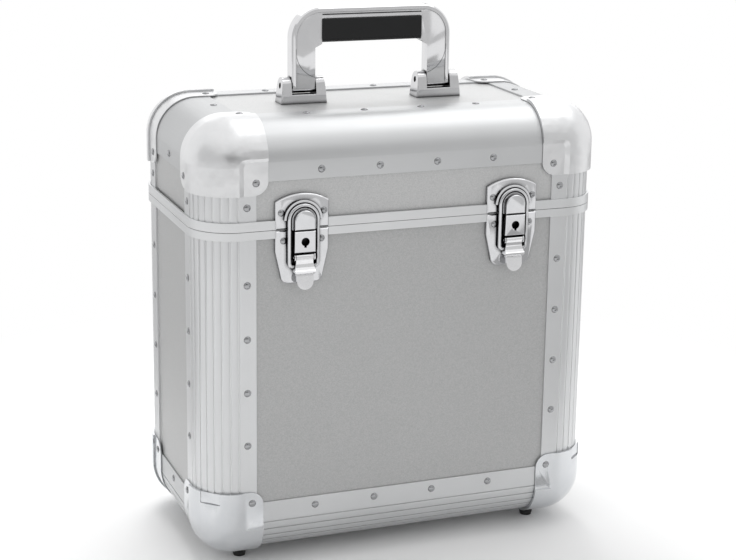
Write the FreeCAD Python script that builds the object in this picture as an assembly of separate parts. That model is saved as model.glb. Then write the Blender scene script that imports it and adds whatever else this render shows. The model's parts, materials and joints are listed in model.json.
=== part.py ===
import FreeCAD
import Part
import math
import os

# Record carrying case: rounded metal edge profiles round laminate panels, ball
# corners, a hinged lid with a folding handle, and two draw latches with locks.
# X runs along the front, Y to the back, Z up. Sizes are in millimetres.

Vector = FreeCAD.Vector
LEFT = -1.0
RIGHT = 1.0
FRONT = -1.0
BACK = 1.0
SIDES = (("left", LEFT), ("right", RIGHT))
ENDS = (("front", FRONT), ("back", BACK))
X_AXIS = Vector(1, 0, 0)
Y_AXIS = Vector(0, 1, 0)
Z_AXIS = Vector(0, 0, 1)
ORIGIN = Vector(0, 0, 0)
QUARTER = 90.0
HALF_TURN = 180.0
FULL_TURN = 360.0
ROUND_SIDES = 8
RIVET_TOP_SHARE = 0.55
BEND_STEPS = 3
CROWN_STEPS = 12
MITRED = 1

# Case body
case_width = 365.0
case_depth = 195.0
case_height = 380.0
lid_height = 89.0
foot_height = 11.0
edge_radius = 35.0
seat = 0.05
cut_over = 5.0

# Edge profiles and panels
skin = 1.5
panel_thickness = 6.5
panel_gap = 0.3
inner_bevel_inset = 2.0
upright_flange = 13.0
top_flange = 13.0
bottom_flange = 16.0
groove_count = 8
groove_width = 0.9
groove_depth = 0.6
groove_start_angle = 4.0

# Belt frames along the parting line
belt_proud = 2.0
belt_base_height = 7.0
belt_lid_height = 8.0
belt_base_cap = 2.0
belt_lid_cap = 4.0
belt_lip = 1.5
parting_gap = 0.3
tongue_inset = 3.9
tongue_width = 1.6
tongue_height = 2.2
tongue_clearance = 0.3

# Ball corners
lid_corner_reach_x = 58.0
lid_corner_reach_z = 59.0
base_corner_reach_x = 53.5
base_corner_reach_z = 62.0
corner_reach_y = 56.0
corner_proud = 3.0
corner_lobe = 1.2
corner_face_round = 12.0
corner_side_round = 12.0
pad_inset_x = 37.0
pad_inset_z = 31.0
pad_slope = 4.5
pad_round = 5.0
notch_half_width = 9.5
notch_height = 10.0
notch_depth = 1.8

# Rivets and feet
rivet_radius = 3.2
rivet_height = 1.6
rivet_inset = 40.0
bottom_rivet_inset = 43.0
lid_corner_rivet_inset_x = 47.5
lid_corner_rivet_inset_z = 48.5
base_corner_rivet_inset_x = 43.5
base_corner_rivet_inset_z = 52.0
corner_rivet_inset_y = 46.0
rivet_pitch_top = 52.0
rivet_pitch_bottom = 54.5
rivet_row = 4
rivet_lid_rise = 20.0
rivet_base_drop = 46.0
rivet_base_rise = 104.0
foot_inset_x = 43.0
foot_inset_y = 37.5
foot_top_radius = 7.3
foot_bottom_radius = 5.2

# Lining
lining_thickness = 2.5
lining_gap = 0.05

# Latch plates, measured from the parting line and the plate's front face
latch_inset = 86.9
plate_thickness = 1.3
plate_half_width = 23.3
plate_edge_gap = 0.5
keeper_shoulder = 23.5
keeper_top = 30.0
base_plate_waist = 18.5
base_plate_toe_half = 18.4
base_plate_toe = 40.0
base_plate_bottom = 46.5
base_plate_bottom_half = 11.0
plate_rivet_offset = 16.6
keeper_rivet_offset = 18.6
keeper_rivet_rise = 14.6
base_rivet_drop = 9.2
plate_rivet_radius = 2.9
plate_rivet_height = 1.3
plate_edge_bevel = 1.1

# Keeper boss that the bail hooks over
boss_centre_rise = 8.3
tongue_face_radius = 8.75
tongue_face_height = 8.0
hook_gap = 0.3
hook_height = 4.4
hood_gap = 0.6
hood_width = 2.0
hood_height = 2.4
boss_edge_bevel = 0.7

# Bail, a bent wire
bail_half_spacing = 12.4
bail_wire_radius = 1.6
bail_standoff = 3.2
bail_foot_bend = 3.0
bail_pivot_drop = 31.0
bail_end_inset = 6.5
pivot_clearance = 0.05

# Lock housing and rotor
housing_half_width = 9.05
housing_height = 18.0
housing_proud = 8.0
housing_wall = 1.2
housing_front_wall = 1.6
housing_edge_bevel = 0.6
keyhole_drop = 9.4
keyhole_radius = 3.6
keyhole_slot_half = 1.05
keyhole_slot_reach = 4.9
rotor_radius = 4.4
rotor_thickness = 2.4
rotor_lift = 0.3
rotor_lug_half = 1.7
rotor_lug_reach = 7.2
rotor_slot_half = 0.7
rotor_slot_length = 3.0
rotor_slot_depth = 1.4

# Lever
lever_pivot_drop = 23.0
lever_pivot_standoff = 4.2
lever_knuckle_radius = 3.3
lever_half_top = 7.5
lever_straight_drop = 27.5
lever_half_wide = 9.0
lever_bend_drop = 34.0
lever_bend_proud = 8.9
lever_bend_land = 1.8
lever_hollow_drop = 28.5
lever_hollow_proud = 6.0
lever_step_drop = 37.4
lever_step_proud = 7.2
lever_tab_half = 7.3
lever_tab_drop = 50.3
lever_tab_proud = 8.6
lever_tab_thickness = 2.0
lever_pocket_half = 5.9
lever_pocket_proud = 4.4
lever_pocket_drop = 35.2
latch_pin_radius = 1.2
latch_pin_head = 0.6
ear_thickness = 1.3
ear_gap = 0.3
ear_radius = 3.3

# Handle
handle_half_width = 74.0
handle_rise = 67.5
handle_thickness = 14.0
handle_shoulder = 26.5
handle_leg_width = 21.5
handle_bead = 4.0
handle_recess = 0.7
handle_edge_bevel = 1.2
handle_pivot_lift = 15.5
grip_half_length = 46.2
grip_bottom = 37.0
grip_top = 57.7
grip_thickness = 16.0
grip_round = 4.5
grip_gap = 0.1
shoulder_drop = 1.2
web_half = 2.5
web_depth = 12.0
rail_groove_drop = 5.6
rail_groove_width = 1.1
rail_groove_depth = 1.0

# Handle brackets
bracket_half_width = 21.2
bracket_top_half = 18.8
bracket_depth = 18.0
bracket_leg_gap = 0.35
bracket_ear_radius = 7.4
bracket_shoulder = 7.0
bracket_edge_bevel = 0.8
handle_pin_radius = 2.5
handle_pin_inset = 0.3

# Hinges on the back
hinge_inset = 87.5
hinge_half_width = 22.0
hinge_leaf_height = 26.0
hinge_leaf_round = 5.0
hinge_axis_standoff = 2.2
hinge_knuckle_radius = 3.2
hinge_pin_radius = 1.6
hinge_lid_knuckle_half = 7.0
hinge_gap = 0.3
hinge_pin_end = 0.6
hinge_rivet_inset = 6.5
hinge_rivet_rise = 19.0

# Places worked out from the sizes above
half_width = case_width / 2
half_depth = case_depth / 2
under_z = foot_height
top_z = under_z + case_height
middle_z = under_z + case_height / 2
parting_z = top_z - lid_height
wall = 2 * skin + panel_thickness
bevel_start = edge_radius - inner_bevel_inset
inner_corner = bevel_start + skin * math.tan(math.radians(QUARTER / 4))
base_wall_top = parting_z - parting_gap / 2 - belt_base_cap
lid_wall_bottom = parting_z + parting_gap / 2 + belt_lid_cap
handle_pivot_z = top_z - skin + handle_pivot_lift
plate_face_y = half_depth + belt_proud + plate_thickness
bracket_centre = handle_half_width - handle_leg_width / 2
hook_radius = bail_half_spacing - bail_wire_radius - hook_gap
hinge_axis_y = plate_face_y + hinge_axis_standoff

# The parts are centred on the whole case's depth, latches and hinges included
front_reach = plate_face_y + lever_bend_proud
back_reach = hinge_axis_y + hinge_knuckle_radius
centre_shift = Vector(0, (front_reach - back_reach) / 2, 0)


# Shared shapes


def block(low, high):
    size = high - low
    return Part.makeBox(size.x, size.y, size.z, low)


def prism(points, direction):
    return Part.Face(Part.makePolygon(points + [points[0]])).extrude(direction)


def outline_face(edges):
    return Part.Face(Part.Wire(Part.__sortEdges__(edges)))


def line(start, end):
    return Part.LineSegment(start, end).toShape()


def arc(start, middle, end):
    return Part.Arc(start, middle, end).toShape()


def mirror_x(shape):
    return shape.mirror(ORIGIN, X_AXIS)


def mirror_y(shape):
    return shape.mirror(ORIGIN, Y_AXIS)


def moved(shape, offset):
    copy = shape.copy()
    copy.translate(offset)
    return copy


def on_side(shape, side):
    return shape.copy() if side < 0 else mirror_x(shape)


def to_corner(shape, side, end):
    turned = on_side(shape, side)
    return turned if end < 0 else mirror_y(turned)


def fused(shapes):
    return shapes[0].fuse(shapes[1:]).removeSplitter()


def round_edges(shape, radius, keep):
    edges = [edge for edge in shape.Edges if keep(edge)]
    return shape.makeFillet(radius, edges)


def bevel_edges(shape, size, keep):
    edges = [edge for edge in shape.Edges if keep(edge)]
    return shape.makeChamfer(size, edges)


def sided_ring(at, turn, radius, rise):
    """Corner points of a small round thing that is drawn with few flat sides."""
    step = FULL_TURN / ROUND_SIDES
    spokes = [FreeCAD.Rotation(Z_AXIS, i * step).multVec(Vector(radius, 0, rise)) for i in range(ROUND_SIDES)]
    return [at + turn.multVec(spoke) for spoke in spokes]


def rivet_head(at, normal, radius, height):
    """A low head with a few flat sides, because the case has over a hundred."""
    turn = FreeCAD.Rotation(Z_AXIS, normal)
    low = sided_ring(at, turn, radius, 0)
    high = sided_ring(at, turn, radius * RIVET_TOP_SHARE, height)
    outlines = [low, high]
    for i in range(ROUND_SIDES):
        outlines.append([low[i - 1], low[i], high[i], high[i - 1]])
    faces = [Part.Face(Part.makePolygon(points + [points[0]])) for points in outlines]
    return Part.Solid(Part.Shell(faces))


# Plan outline of the case, grown or shrunk by an offset


def plan_prism(offset, low, high):
    x = half_width + offset
    y = half_depth + offset
    r = edge_radius + offset
    k = r * (1 - math.sqrt(0.5))
    edges = [
        line(Vector(r - x, -y, low), Vector(x - r, -y, low)),
        arc(Vector(x - r, -y, low), Vector(x - k, k - y, low), Vector(x, r - y, low)),
        line(Vector(x, r - y, low), Vector(x, y - r, low)),
        arc(Vector(x, y - r, low), Vector(x - k, y - k, low), Vector(x - r, y, low)),
        line(Vector(x - r, y, low), Vector(r - x, y, low)),
        arc(Vector(r - x, y, low), Vector(k - x, y - k, low), Vector(-x, y - r, low)),
        line(Vector(-x, y - r, low), Vector(-x, r - y, low)),
        arc(Vector(-x, r - y, low), Vector(k - x, k - y, low), Vector(r - x, -y, low)),
    ]
    return outline_face(edges).extrude(Vector(0, 0, high - low))


def plan_ring(outer, inner, low, high):
    hole = plan_prism(inner, low - cut_over, high + cut_over)
    return plan_prism(outer, low, high).cut(hole)


# Edge profile: a rounded outer skin and an inner skin joined by two webs, with
# flanges that hold the panel edges. Local X and Y run inwards from the faces.


def outer_skin(reach):
    r = edge_radius - skin
    k_out = edge_radius * (1 - math.sqrt(0.5))
    k_in = edge_radius - r * math.sqrt(0.5)
    edges = [
        line(Vector(reach, 0, 0), Vector(edge_radius, 0, 0)),
        arc(Vector(edge_radius, 0, 0), Vector(k_out, k_out, 0), Vector(0, edge_radius, 0)),
        line(Vector(0, edge_radius, 0), Vector(0, reach, 0)),
        line(Vector(0, reach, 0), Vector(skin, reach, 0)),
        line(Vector(skin, reach, 0), Vector(skin, edge_radius, 0)),
        arc(Vector(skin, edge_radius, 0), Vector(k_in, k_in, 0), Vector(edge_radius, skin, 0)),
        line(Vector(edge_radius, skin, 0), Vector(reach, skin, 0)),
        line(Vector(reach, skin, 0), Vector(reach, 0, 0)),
    ]
    return outline_face(edges)


def inner_skin(reach):
    """Two inner flanges joined by a straight diagonal web."""
    back = skin + panel_thickness
    points = [
        Vector(reach, back, 0),
        Vector(bevel_start, back, 0),
        Vector(back, bevel_start, 0),
        Vector(back, reach, 0),
        Vector(wall, reach, 0),
        Vector(wall, inner_corner, 0),
        Vector(inner_corner, wall, 0),
        Vector(reach, wall, 0),
    ]
    return Part.Face(Part.makePolygon(points + [points[0]]))


def web_rectangle(a_low, a_high, b_low, b_high):
    corners = [
        Vector(a_low, b_low, 0),
        Vector(a_high, b_low, 0),
        Vector(a_high, b_high, 0),
        Vector(a_low, b_high, 0),
    ]
    return Part.Face(Part.makePolygon(corners + [corners[0]]))


def groove_face(angle):
    radial = Vector(-math.sin(angle), -math.cos(angle), 0)
    across = Vector(-radial.y, radial.x, 0) * (groove_width / 2)
    centre = Vector(edge_radius, edge_radius, 0)
    outside = centre + radial * (edge_radius + groove_depth)
    inside = centre + radial * (edge_radius - groove_depth)
    corners = [outside - across, outside + across, inside + across, inside - across]
    return Part.Face(Part.makePolygon(corners + [corners[0]]))


def profile_faces(flange, grooved):
    reach = edge_radius + flange
    panel_back = skin + panel_thickness
    web_end = panel_back + skin / 2
    near_web = web_rectangle(edge_radius - skin, edge_radius, skin, web_end)
    far_web = web_rectangle(skin, web_end, edge_radius - skin, edge_radius)
    outer = outer_skin(reach)
    if grooved:
        step = (QUARTER - 2 * groove_start_angle) / (groove_count - 1)
        angles = [math.radians(groove_start_angle + step * i) for i in range(groove_count)]
        outer = outer.cut([groove_face(angle) for angle in angles])
    return [outer, inner_skin(reach), near_web, far_web]


def profile(faces, length, origin, axis_a, axis_b):
    turn = FreeCAD.Rotation(axis_a, axis_b, axis_a.cross(axis_b), "XYZ")
    start = Vector(0, 0, -length / 2)
    solid = fused([moved(face, start).extrude(Vector(0, 0, length)) for face in faces])
    solid.Placement = FreeCAD.Placement(origin, turn).multiply(solid.Placement)
    return solid


def upright_profile(low, high):
    faces = profile_faces(upright_flange, True)
    origin = Vector(-half_width, -half_depth, (low + high) / 2)
    return profile(faces, high - low, origin, X_AXIS, Y_AXIS)


def end_notch_x(flange, face_z, inward):
    """Room at both ends of a front edge profile for the upright flanges."""
    reach = edge_radius + upright_flange + seat
    near = face_z + inward * edge_radius
    far = face_z + inward * (edge_radius + flange + cut_over)
    low = Vector(-half_width, -half_depth - cut_over, min(near, far))
    high = Vector(reach - half_width, cut_over + wall - half_depth, max(near, far))
    notch = block(low, high)
    return [notch, mirror_x(notch)]


def end_notch_y(flange, face_z, inward):
    """Room at both ends of a side edge profile for its neighbours' flanges."""
    near = face_z + inward * edge_radius
    far = face_z + inward * (edge_radius + flange + cut_over)
    low = Vector(-half_width - cut_over, -half_depth, min(near, far))
    side_reach = edge_radius + upright_flange + seat
    high = Vector(cut_over + wall - half_width, side_reach - half_depth, max(near, far))
    side = block(low, high)
    outside = face_z - inward * cut_over
    inside = face_z + inward * (wall + cut_over)
    low = Vector(edge_radius - half_width, -half_depth, min(outside, inside))
    flat_reach = edge_radius + flange + seat
    far_x = edge_radius + flange + cut_over
    high = Vector(far_x - half_width, flat_reach - half_depth, max(outside, inside))
    flat = block(low, high)
    return [side, flat, mirror_y(side), mirror_y(flat)]


def front_edge(flange, grooved, face_z, inward):
    faces = profile_faces(flange, grooved)
    origin = Vector(0, -half_depth, face_z)
    length = 2 * (half_width - edge_radius)
    solid = profile(faces, length, origin, Y_AXIS, Z_AXIS * inward)
    return solid.cut(end_notch_x(flange, face_z, inward))


def side_edge(flange, grooved, face_z, inward):
    faces = profile_faces(flange, grooved)
    origin = Vector(-half_width, 0, face_z)
    length = 2 * (half_depth - edge_radius)
    solid = profile(faces, length, origin, X_AXIS, Z_AXIS * inward)
    return solid.cut(end_notch_y(flange, face_z, inward))


# Panels, seated in the profile channels


def front_panel(low, high):
    x = half_width - edge_radius - panel_gap
    face = skin - half_depth
    return block(Vector(-x, face, low), Vector(x, face + panel_thickness, high))


def side_panel(low, high):
    y = half_depth - edge_radius - panel_gap
    face = skin - half_width
    return block(Vector(face, -y, low), Vector(face + panel_thickness, y, high))


def flat_panel(low):
    x = half_width - edge_radius - panel_gap
    y = half_depth - edge_radius - panel_gap
    return block(Vector(-x, -y, low), Vector(x, y, low + panel_thickness))


# Belt frames


def base_belt():
    top = parting_z - parting_gap / 2
    bottom = top - belt_base_height
    skirt = plan_ring(belt_proud, seat, bottom, top)
    cap = plan_ring(belt_proud, -wall - belt_lip, base_wall_top, top)
    rib = plan_ring(-tongue_inset, -tongue_inset - tongue_width, top, top + tongue_height)
    return fused([skirt, cap, rib])


def lid_belt():
    bottom = parting_z + parting_gap / 2
    top = bottom + belt_lid_height
    skirt = plan_ring(belt_proud, seat, bottom, top)
    cap = plan_ring(belt_proud, -wall - belt_lip, bottom, lid_wall_bottom)
    groove_out = tongue_clearance - tongue_inset
    groove_in = -tongue_inset - tongue_width - tongue_clearance
    groove_top = bottom + tongue_height + tongue_clearance
    groove = plan_ring(groove_out, groove_in, bottom - cut_over, groove_top)
    return fused([skirt, cap]).cut(groove)


# Ball corners, in local axes that run inwards from the corner's three faces


def rounded_corner(offset, size):
    low = Vector(-offset, -offset, -offset)
    box = Part.makeBox(size, size, size, low)
    tolerance = seat / 10

    def at_corner(edge):
        return any(v.Point.distanceToPoint(low) < tolerance for v in edge.Vertexes)

    return round_edges(box, edge_radius + offset, at_corner)


def lobe_outline(reach_1, reach_2, radius, axis_1, axis_2, through):
    start = (axis_1 + axis_2 + through) * -cut_over
    k = radius * (1 - math.sqrt(0.5))
    one = axis_1 * (reach_1 + cut_over)
    two = axis_2 * (reach_2 + cut_over)
    edges = [
        line(start, start + one),
        line(start + one, start + one + two - axis_2 * radius),
        arc(
            start + one + two - axis_2 * radius,
            start + one + two - (axis_1 + axis_2) * k,
            start + one + two - axis_1 * radius,
        ),
        line(start + one + two - axis_1 * radius, start + two),
        line(start + two, start),
    ]
    return outline_face(edges)


def corner_outlines(reach_x, reach_z, size):
    faces = (
        (X_AXIS, Y_AXIS, Z_AXIS, reach_x, corner_reach_y, corner_side_round),
        (X_AXIS, Z_AXIS, Y_AXIS, reach_x, reach_z, corner_face_round),
        (Y_AXIS, Z_AXIS, X_AXIS, corner_reach_y, reach_z, corner_side_round),
    )
    prisms = []
    for one, two, through, reach_1, reach_2, radius in faces:
        face = lobe_outline(reach_1, reach_2, radius, one, two, through)
        prisms.append(face.extrude(through * (size + cut_over)))
    return prisms


def pad_wire(grow, y):
    x0 = pad_inset_x - grow
    z0 = pad_inset_z - grow
    x1 = lid_corner_reach_x + cut_over
    z1 = base_corner_reach_z + cut_over
    r = pad_round
    k = r * (1 - math.sqrt(0.5))
    edges = [
        line(Vector(x0, y, z1), Vector(x0, y, z0 + r)),
        arc(Vector(x0, y, z0 + r), Vector(x0 + k, y, z0 + k), Vector(x0 + r, y, z0)),
        line(Vector(x0 + r, y, z0), Vector(x1, y, z0)),
        line(Vector(x1, y, z0), Vector(x1, y, z1)),
        line(Vector(x1, y, z1), Vector(x0, y, z1)),
    ]
    return Part.Wire(edges)


def corner_pad():
    """The sunk flat that the front rivet sits on."""
    return Part.makeLoft([pad_wire(pad_slope, -corner_proud - seat), pad_wire(0, -corner_lobe)], True, True)


def corner_room():
    """The case's inside at a corner, with its three edges cut off straight."""
    low = Vector(wall, wall, wall)
    room = Part.makeBox(edge_radius, edge_radius, edge_radius, low)
    bevel = inner_corner - wall
    wedges = []
    for one, two, through in ((X_AXIS, Y_AXIS, Z_AXIS), (Y_AXIS, Z_AXIS, X_AXIS), (Z_AXIS, X_AXIS, Y_AXIS)):
        wedges.append(prism([low, low + one * bevel, low + two * bevel], through * edge_radius))
    return room.cut(wedges)


def corner_notch(reach_z):
    """The pressed step at the rim, square to the corner's middle."""
    radius = edge_radius + corner_proud
    low = Vector(-notch_half_width, -radius - cut_over, reach_z - notch_height)
    high = Vector(notch_half_width, notch_depth - radius, reach_z + cut_over)
    notch = block(low, high)
    notch.rotate(ORIGIN, Z_AXIS, -QUARTER / 2)
    return moved(notch, Vector(edge_radius, edge_radius, 0))


def ball_corner(reach_x, reach_z):
    size = 2 * reach_z
    body = rounded_corner(corner_proud, size)
    limit = Vector(size, edge_radius, size)
    body = body.common(block(Vector(-cut_over, -cut_over, -cut_over), limit))
    lobes = rounded_corner(corner_lobe, size)
    shape = body.fuse(lobes)
    for outline in corner_outlines(reach_x, reach_z, size):
        shape = shape.common(outline)
    octant = block(ORIGIN, Vector(edge_radius, edge_radius, edge_radius))
    case = rounded_corner(seat, size).cut(octant)
    return shape.cut([case, corner_room(), corner_pad()]).removeSplitter()


def placed_corner(shape, side, end, top):
    front_left = moved(shape, Vector(-half_width, -half_depth, under_z))
    placed = to_corner(front_left, side, end)
    return placed.mirror(Vector(0, 0, middle_z), Z_AXIS) if top else placed


# Rivets


def four_ways(point):
    return [Vector(point.x * i, point.y * j, point.z) for i in (-1, 1) for j in (-1, 1)]


def upright_rivets(heights):
    heads = []
    for z in heights:
        for at in four_ways(Vector(half_width - rivet_inset, half_depth, z)):
            normal = Vector(0, math.copysign(1, at.y), 0)
            heads.append(rivet_head(at, normal, rivet_radius, rivet_height))
        for at in four_ways(Vector(half_width, half_depth - rivet_inset, z)):
            normal = Vector(math.copysign(1, at.x), 0, 0)
            heads.append(rivet_head(at, normal, rivet_radius, rivet_height))
    return heads


def edge_rivets(face_z, inward, inset, pitch):
    """Rivets along the horizontal profiles of the lid or of the base."""
    heads = []
    outward = Z_AXIS * -inward
    row_z = face_z + inward * inset
    for i in range(rivet_row):
        x = (i - (rivet_row - 1) / 2) * pitch
        for end in (FRONT, BACK):
            at = Vector(x, end * half_depth, row_z)
            heads.append(rivet_head(at, Y_AXIS * end, rivet_radius, rivet_height))
            at = Vector(x, end * (half_depth - inset), face_z)
            heads.append(rivet_head(at, outward, rivet_radius, rivet_height))
    for side in (LEFT, RIGHT):
        at = Vector(side * half_width, 0, row_z)
        heads.append(rivet_head(at, X_AXIS * side, rivet_radius, rivet_height))
        at = Vector(side * (half_width - inset), 0, face_z)
        heads.append(rivet_head(at, outward, rivet_radius, rivet_height))
    return heads


def corner_rivets(face_z, inward, inset_x, inset_z):
    """Heads on the front and side of each corner."""
    heads = []
    proud = corner_lobe
    x = half_width - inset_x
    y = half_depth - corner_rivet_inset_y
    z = face_z + inward * inset_z
    for at in four_ways(Vector(x, half_depth + proud, z)):
        heads.append(rivet_head(at, Vector(0, math.copysign(1, at.y), 0), rivet_radius, rivet_height))
    for at in four_ways(Vector(half_width + proud, y, z)):
        heads.append(rivet_head(at, Vector(math.copysign(1, at.x), 0, 0), rivet_radius, rivet_height))
    return heads


def plate_rivets(offset, rise):
    """The two heads on a latch plate or a hinge leaf, in the plate's own axes."""
    places = [Vector(side * offset, 0, rise) for side in (LEFT, RIGHT)]
    heads = [rivet_head(at, -Y_AXIS, plate_rivet_radius, plate_rivet_height) for at in places]
    return Part.makeCompound(heads)


def fitting_rivets(latch_offset, latch_rise, hinge_rise):
    on_latch = plate_rivets(latch_offset, latch_rise)
    on_hinge = plate_rivets(hinge_half_width - hinge_rivet_inset, hinge_rise)
    placed = [at_latch(on_latch, side) for _, side in SIDES] + [at_hinges(on_hinge)]
    return [head for group in placed for head in group.Solids]


def base_rivets():
    highest = parting_z - rivet_base_drop
    pitch = (highest - under_z - rivet_base_rise) / (rivet_row - 1)
    heights = [highest - i * pitch for i in range(rivet_row)]
    heads = upright_rivets(heights)
    heads += edge_rivets(under_z, 1, bottom_rivet_inset, rivet_pitch_bottom)
    heads += corner_rivets(under_z, 1, base_corner_rivet_inset_x, base_corner_rivet_inset_z)
    heads += fitting_rivets(plate_rivet_offset, -base_rivet_drop, -hinge_rivet_rise)
    return Part.makeCompound(heads)


def lid_rivets():
    heads = upright_rivets([parting_z + rivet_lid_rise])
    heads += edge_rivets(top_z, -1, rivet_inset, rivet_pitch_top)
    heads += corner_rivets(top_z, -1, lid_corner_rivet_inset_x, lid_corner_rivet_inset_z)
    x = half_width - lid_corner_rivet_inset_x
    y = half_depth - corner_rivet_inset_y
    on_top = four_ways(Vector(x, y, top_z + corner_lobe))
    heads += [rivet_head(at, Z_AXIS, rivet_radius, rivet_height) for at in on_top]
    heads += fitting_rivets(keeper_rivet_offset, keeper_rivet_rise, hinge_rivet_rise)
    return Part.makeCompound(heads)


# Rubber feet


def rubber_feet(corners):
    height = under_z - corner_lobe
    feet = []
    for at in four_ways(Vector(half_width - foot_inset_x, half_depth - foot_inset_y, 0)):
        foot = Part.makeCone(foot_bottom_radius, foot_top_radius, height, at)
        feet.append(foot.cut(corners))
    return Part.makeCompound(feet)


# Foam lining: a flat sheet on every panel


def lining(low, high, flat_low):
    x = half_width - wall - lining_gap
    y = half_depth - wall - lining_gap
    flat_x = half_width - inner_corner - lining_gap
    flat_y = half_depth - inner_corner - lining_gap
    thick = lining_thickness
    front = block(Vector(-flat_x, -y, low), Vector(flat_x, thick - y, high))
    side = block(Vector(-x, -flat_y, low), Vector(thick - x, flat_y, high))
    flat = block(Vector(-flat_x, -flat_y, flat_low), Vector(flat_x, flat_y, flat_low + thick))
    return Part.makeCompound([front, mirror_y(front), side, mirror_x(side), flat])


def base_lining():
    low = under_z + inner_corner + lining_gap
    high = parting_z - parting_gap / 2 - belt_base_height - lining_gap
    return lining(low, high, under_z + wall + lining_gap)


def lid_lining():
    low = parting_z + parting_gap / 2 + belt_lid_height + lining_gap
    high = top_z - inner_corner - lining_gap
    return lining(low, high, top_z - wall - lining_gap - lining_thickness)


# Latch plates. Local axes: X along the case, Z up from the parting line, and
# Y into the case from the plate's front face, so outward is negative Y.


def pan(face):
    """A pressed plate whose turned-in rim stands on the panel."""
    depth = plate_thickness + belt_proud + skin
    body = face.extrude(Y_AXIS * depth)
    hollow = face.makeOffset2D(-plate_thickness)
    hollow = moved(hollow, Y_AXIS * plate_thickness).extrude(Y_AXIS * depth)
    over_belt = block(
        Vector(-plate_half_width - cut_over, plate_thickness, -belt_base_height - panel_gap),
        Vector(plate_half_width + cut_over, depth + cut_over, belt_lid_height + panel_gap),
    )
    body = body.cut([hollow, over_belt])

    def front_edge_of(edge):
        return edge.BoundBox.YMax < seat

    return bevel_edges(body, plate_edge_bevel, front_edge_of)


def keeper_face():
    half = plate_half_width
    edges = [
        line(Vector(-half, 0, plate_edge_gap), Vector(half, 0, plate_edge_gap)),
        line(Vector(half, 0, plate_edge_gap), Vector(half, 0, keeper_shoulder)),
        arc(Vector(half, 0, keeper_shoulder), Vector(0, 0, keeper_top), Vector(-half, 0, keeper_shoulder)),
        line(Vector(-half, 0, keeper_shoulder), Vector(-half, 0, plate_edge_gap)),
    ]
    return outline_face(edges)


def arch_prism(radius, low, height):
    """An upright with a round top about the boss centre, out to a height."""
    mid = boss_centre_rise
    edges = [
        line(Vector(-radius, 0, low), Vector(radius, 0, low)),
        line(Vector(radius, 0, low), Vector(radius, 0, mid)),
        arc(Vector(radius, 0, mid), Vector(0, 0, mid + radius), Vector(-radius, 0, mid)),
        line(Vector(-radius, 0, mid), Vector(-radius, 0, low)),
    ]
    return outline_face(edges).extrude(Y_AXIS * -height)


def keeper():
    hood_inner = bail_half_spacing + bail_wire_radius + hood_gap
    hood = arch_prism(hood_inner + hood_width, plate_edge_gap, hood_height)
    below = block(
        Vector(-plate_half_width, -hood_height - cut_over, -cut_over),
        Vector(plate_half_width, cut_over, boss_centre_rise),
    )
    hood = hood.cut([arch_prism(hood_inner, plate_edge_gap, hood_height + cut_over), below])
    hook = arch_prism(hook_radius, plate_edge_gap, hook_height)
    face = arch_prism(tongue_face_radius, plate_edge_gap, tongue_face_height)
    face = bevel_edges(face, boss_edge_bevel, lambda edge: edge.BoundBox.YMax < seat - tongue_face_height)
    return fused([pan(keeper_face()), hood, hook, face])


def base_plate_face():
    half = plate_half_width
    toe = base_plate_toe_half
    foot = base_plate_bottom_half
    turn = (toe + foot) / 2 + (toe - foot) * (math.sqrt(0.5) - 0.5)
    drop = (base_plate_toe + base_plate_bottom) / 2
    drop += (base_plate_bottom - base_plate_toe) * (math.sqrt(0.5) - 0.5)
    right = [
        line(Vector(half, 0, -plate_edge_gap), Vector(half, 0, -base_plate_waist)),
        line(Vector(half, 0, -base_plate_waist), Vector(toe, 0, -base_plate_toe)),
        arc(Vector(toe, 0, -base_plate_toe), Vector(turn, 0, -drop), Vector(foot, 0, -base_plate_bottom)),
    ]
    left = [mirror_x(edge) for edge in right]
    top = line(Vector(-half, 0, -plate_edge_gap), Vector(half, 0, -plate_edge_gap))
    bottom = line(Vector(-foot, 0, -base_plate_bottom), Vector(foot, 0, -base_plate_bottom))
    return outline_face(right + left + [top, bottom])


def lock_housing():
    half = housing_half_width
    top = -plate_edge_gap
    bottom = top - housing_height
    box = block(Vector(-half, -housing_proud, bottom), Vector(half, 0, top))
    box = bevel_edges(box, housing_edge_bevel, lambda edge: edge.BoundBox.YMax < seat - housing_proud)
    inner = half - housing_wall
    low = Vector(-inner, housing_front_wall - housing_proud, bottom + housing_wall)
    room = block(low, Vector(inner, 0, top - housing_wall))
    key_at = Vector(0, -housing_proud - cut_over, -keyhole_drop)
    key_depth = cut_over + housing_front_wall + seat
    hole = Part.makeCylinder(keyhole_radius, key_depth, key_at, Y_AXIS)
    slot_low = Vector(-keyhole_slot_half, key_at.y, -keyhole_drop - keyhole_slot_reach)
    slot = block(slot_low, Vector(keyhole_slot_half, key_at.y + key_depth, -keyhole_drop))
    return box.cut([room, hole, slot])


def pivot_ear():
    """One of the two ears that carry the lever's pin, on the right."""
    near = lever_half_top + ear_gap
    centre_y = -lever_pivot_standoff
    centre_z = -lever_pivot_drop
    eye = Part.makeCylinder(ear_radius, ear_thickness, Vector(near, centre_y, centre_z), X_AXIS)
    low = Vector(near, centre_y, centre_z - ear_radius)
    stem = block(low, Vector(near + ear_thickness, 0, centre_z + ear_radius))
    return eye.fuse(stem)


def latch_plate():
    ear = pivot_ear()
    body = fused([pan(base_plate_face()), lock_housing(), ear, mirror_x(ear)])
    hole_at = Vector(-plate_half_width, -lever_pivot_standoff, -lever_pivot_drop)
    hole = Part.makeCylinder(latch_pin_radius + seat, 2 * plate_half_width, hole_at, X_AXIS)
    return body.cut(hole)


def latch_pin():
    reach = lever_half_top + ear_gap + ear_thickness + latch_pin_head
    at = Vector(-reach, -lever_pivot_standoff, -lever_pivot_drop)
    return Part.makeCylinder(latch_pin_radius, 2 * reach, at, X_AXIS)


# Lever of the draw latch: a hollow lever with a spoon-shaped front and a tab


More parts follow.
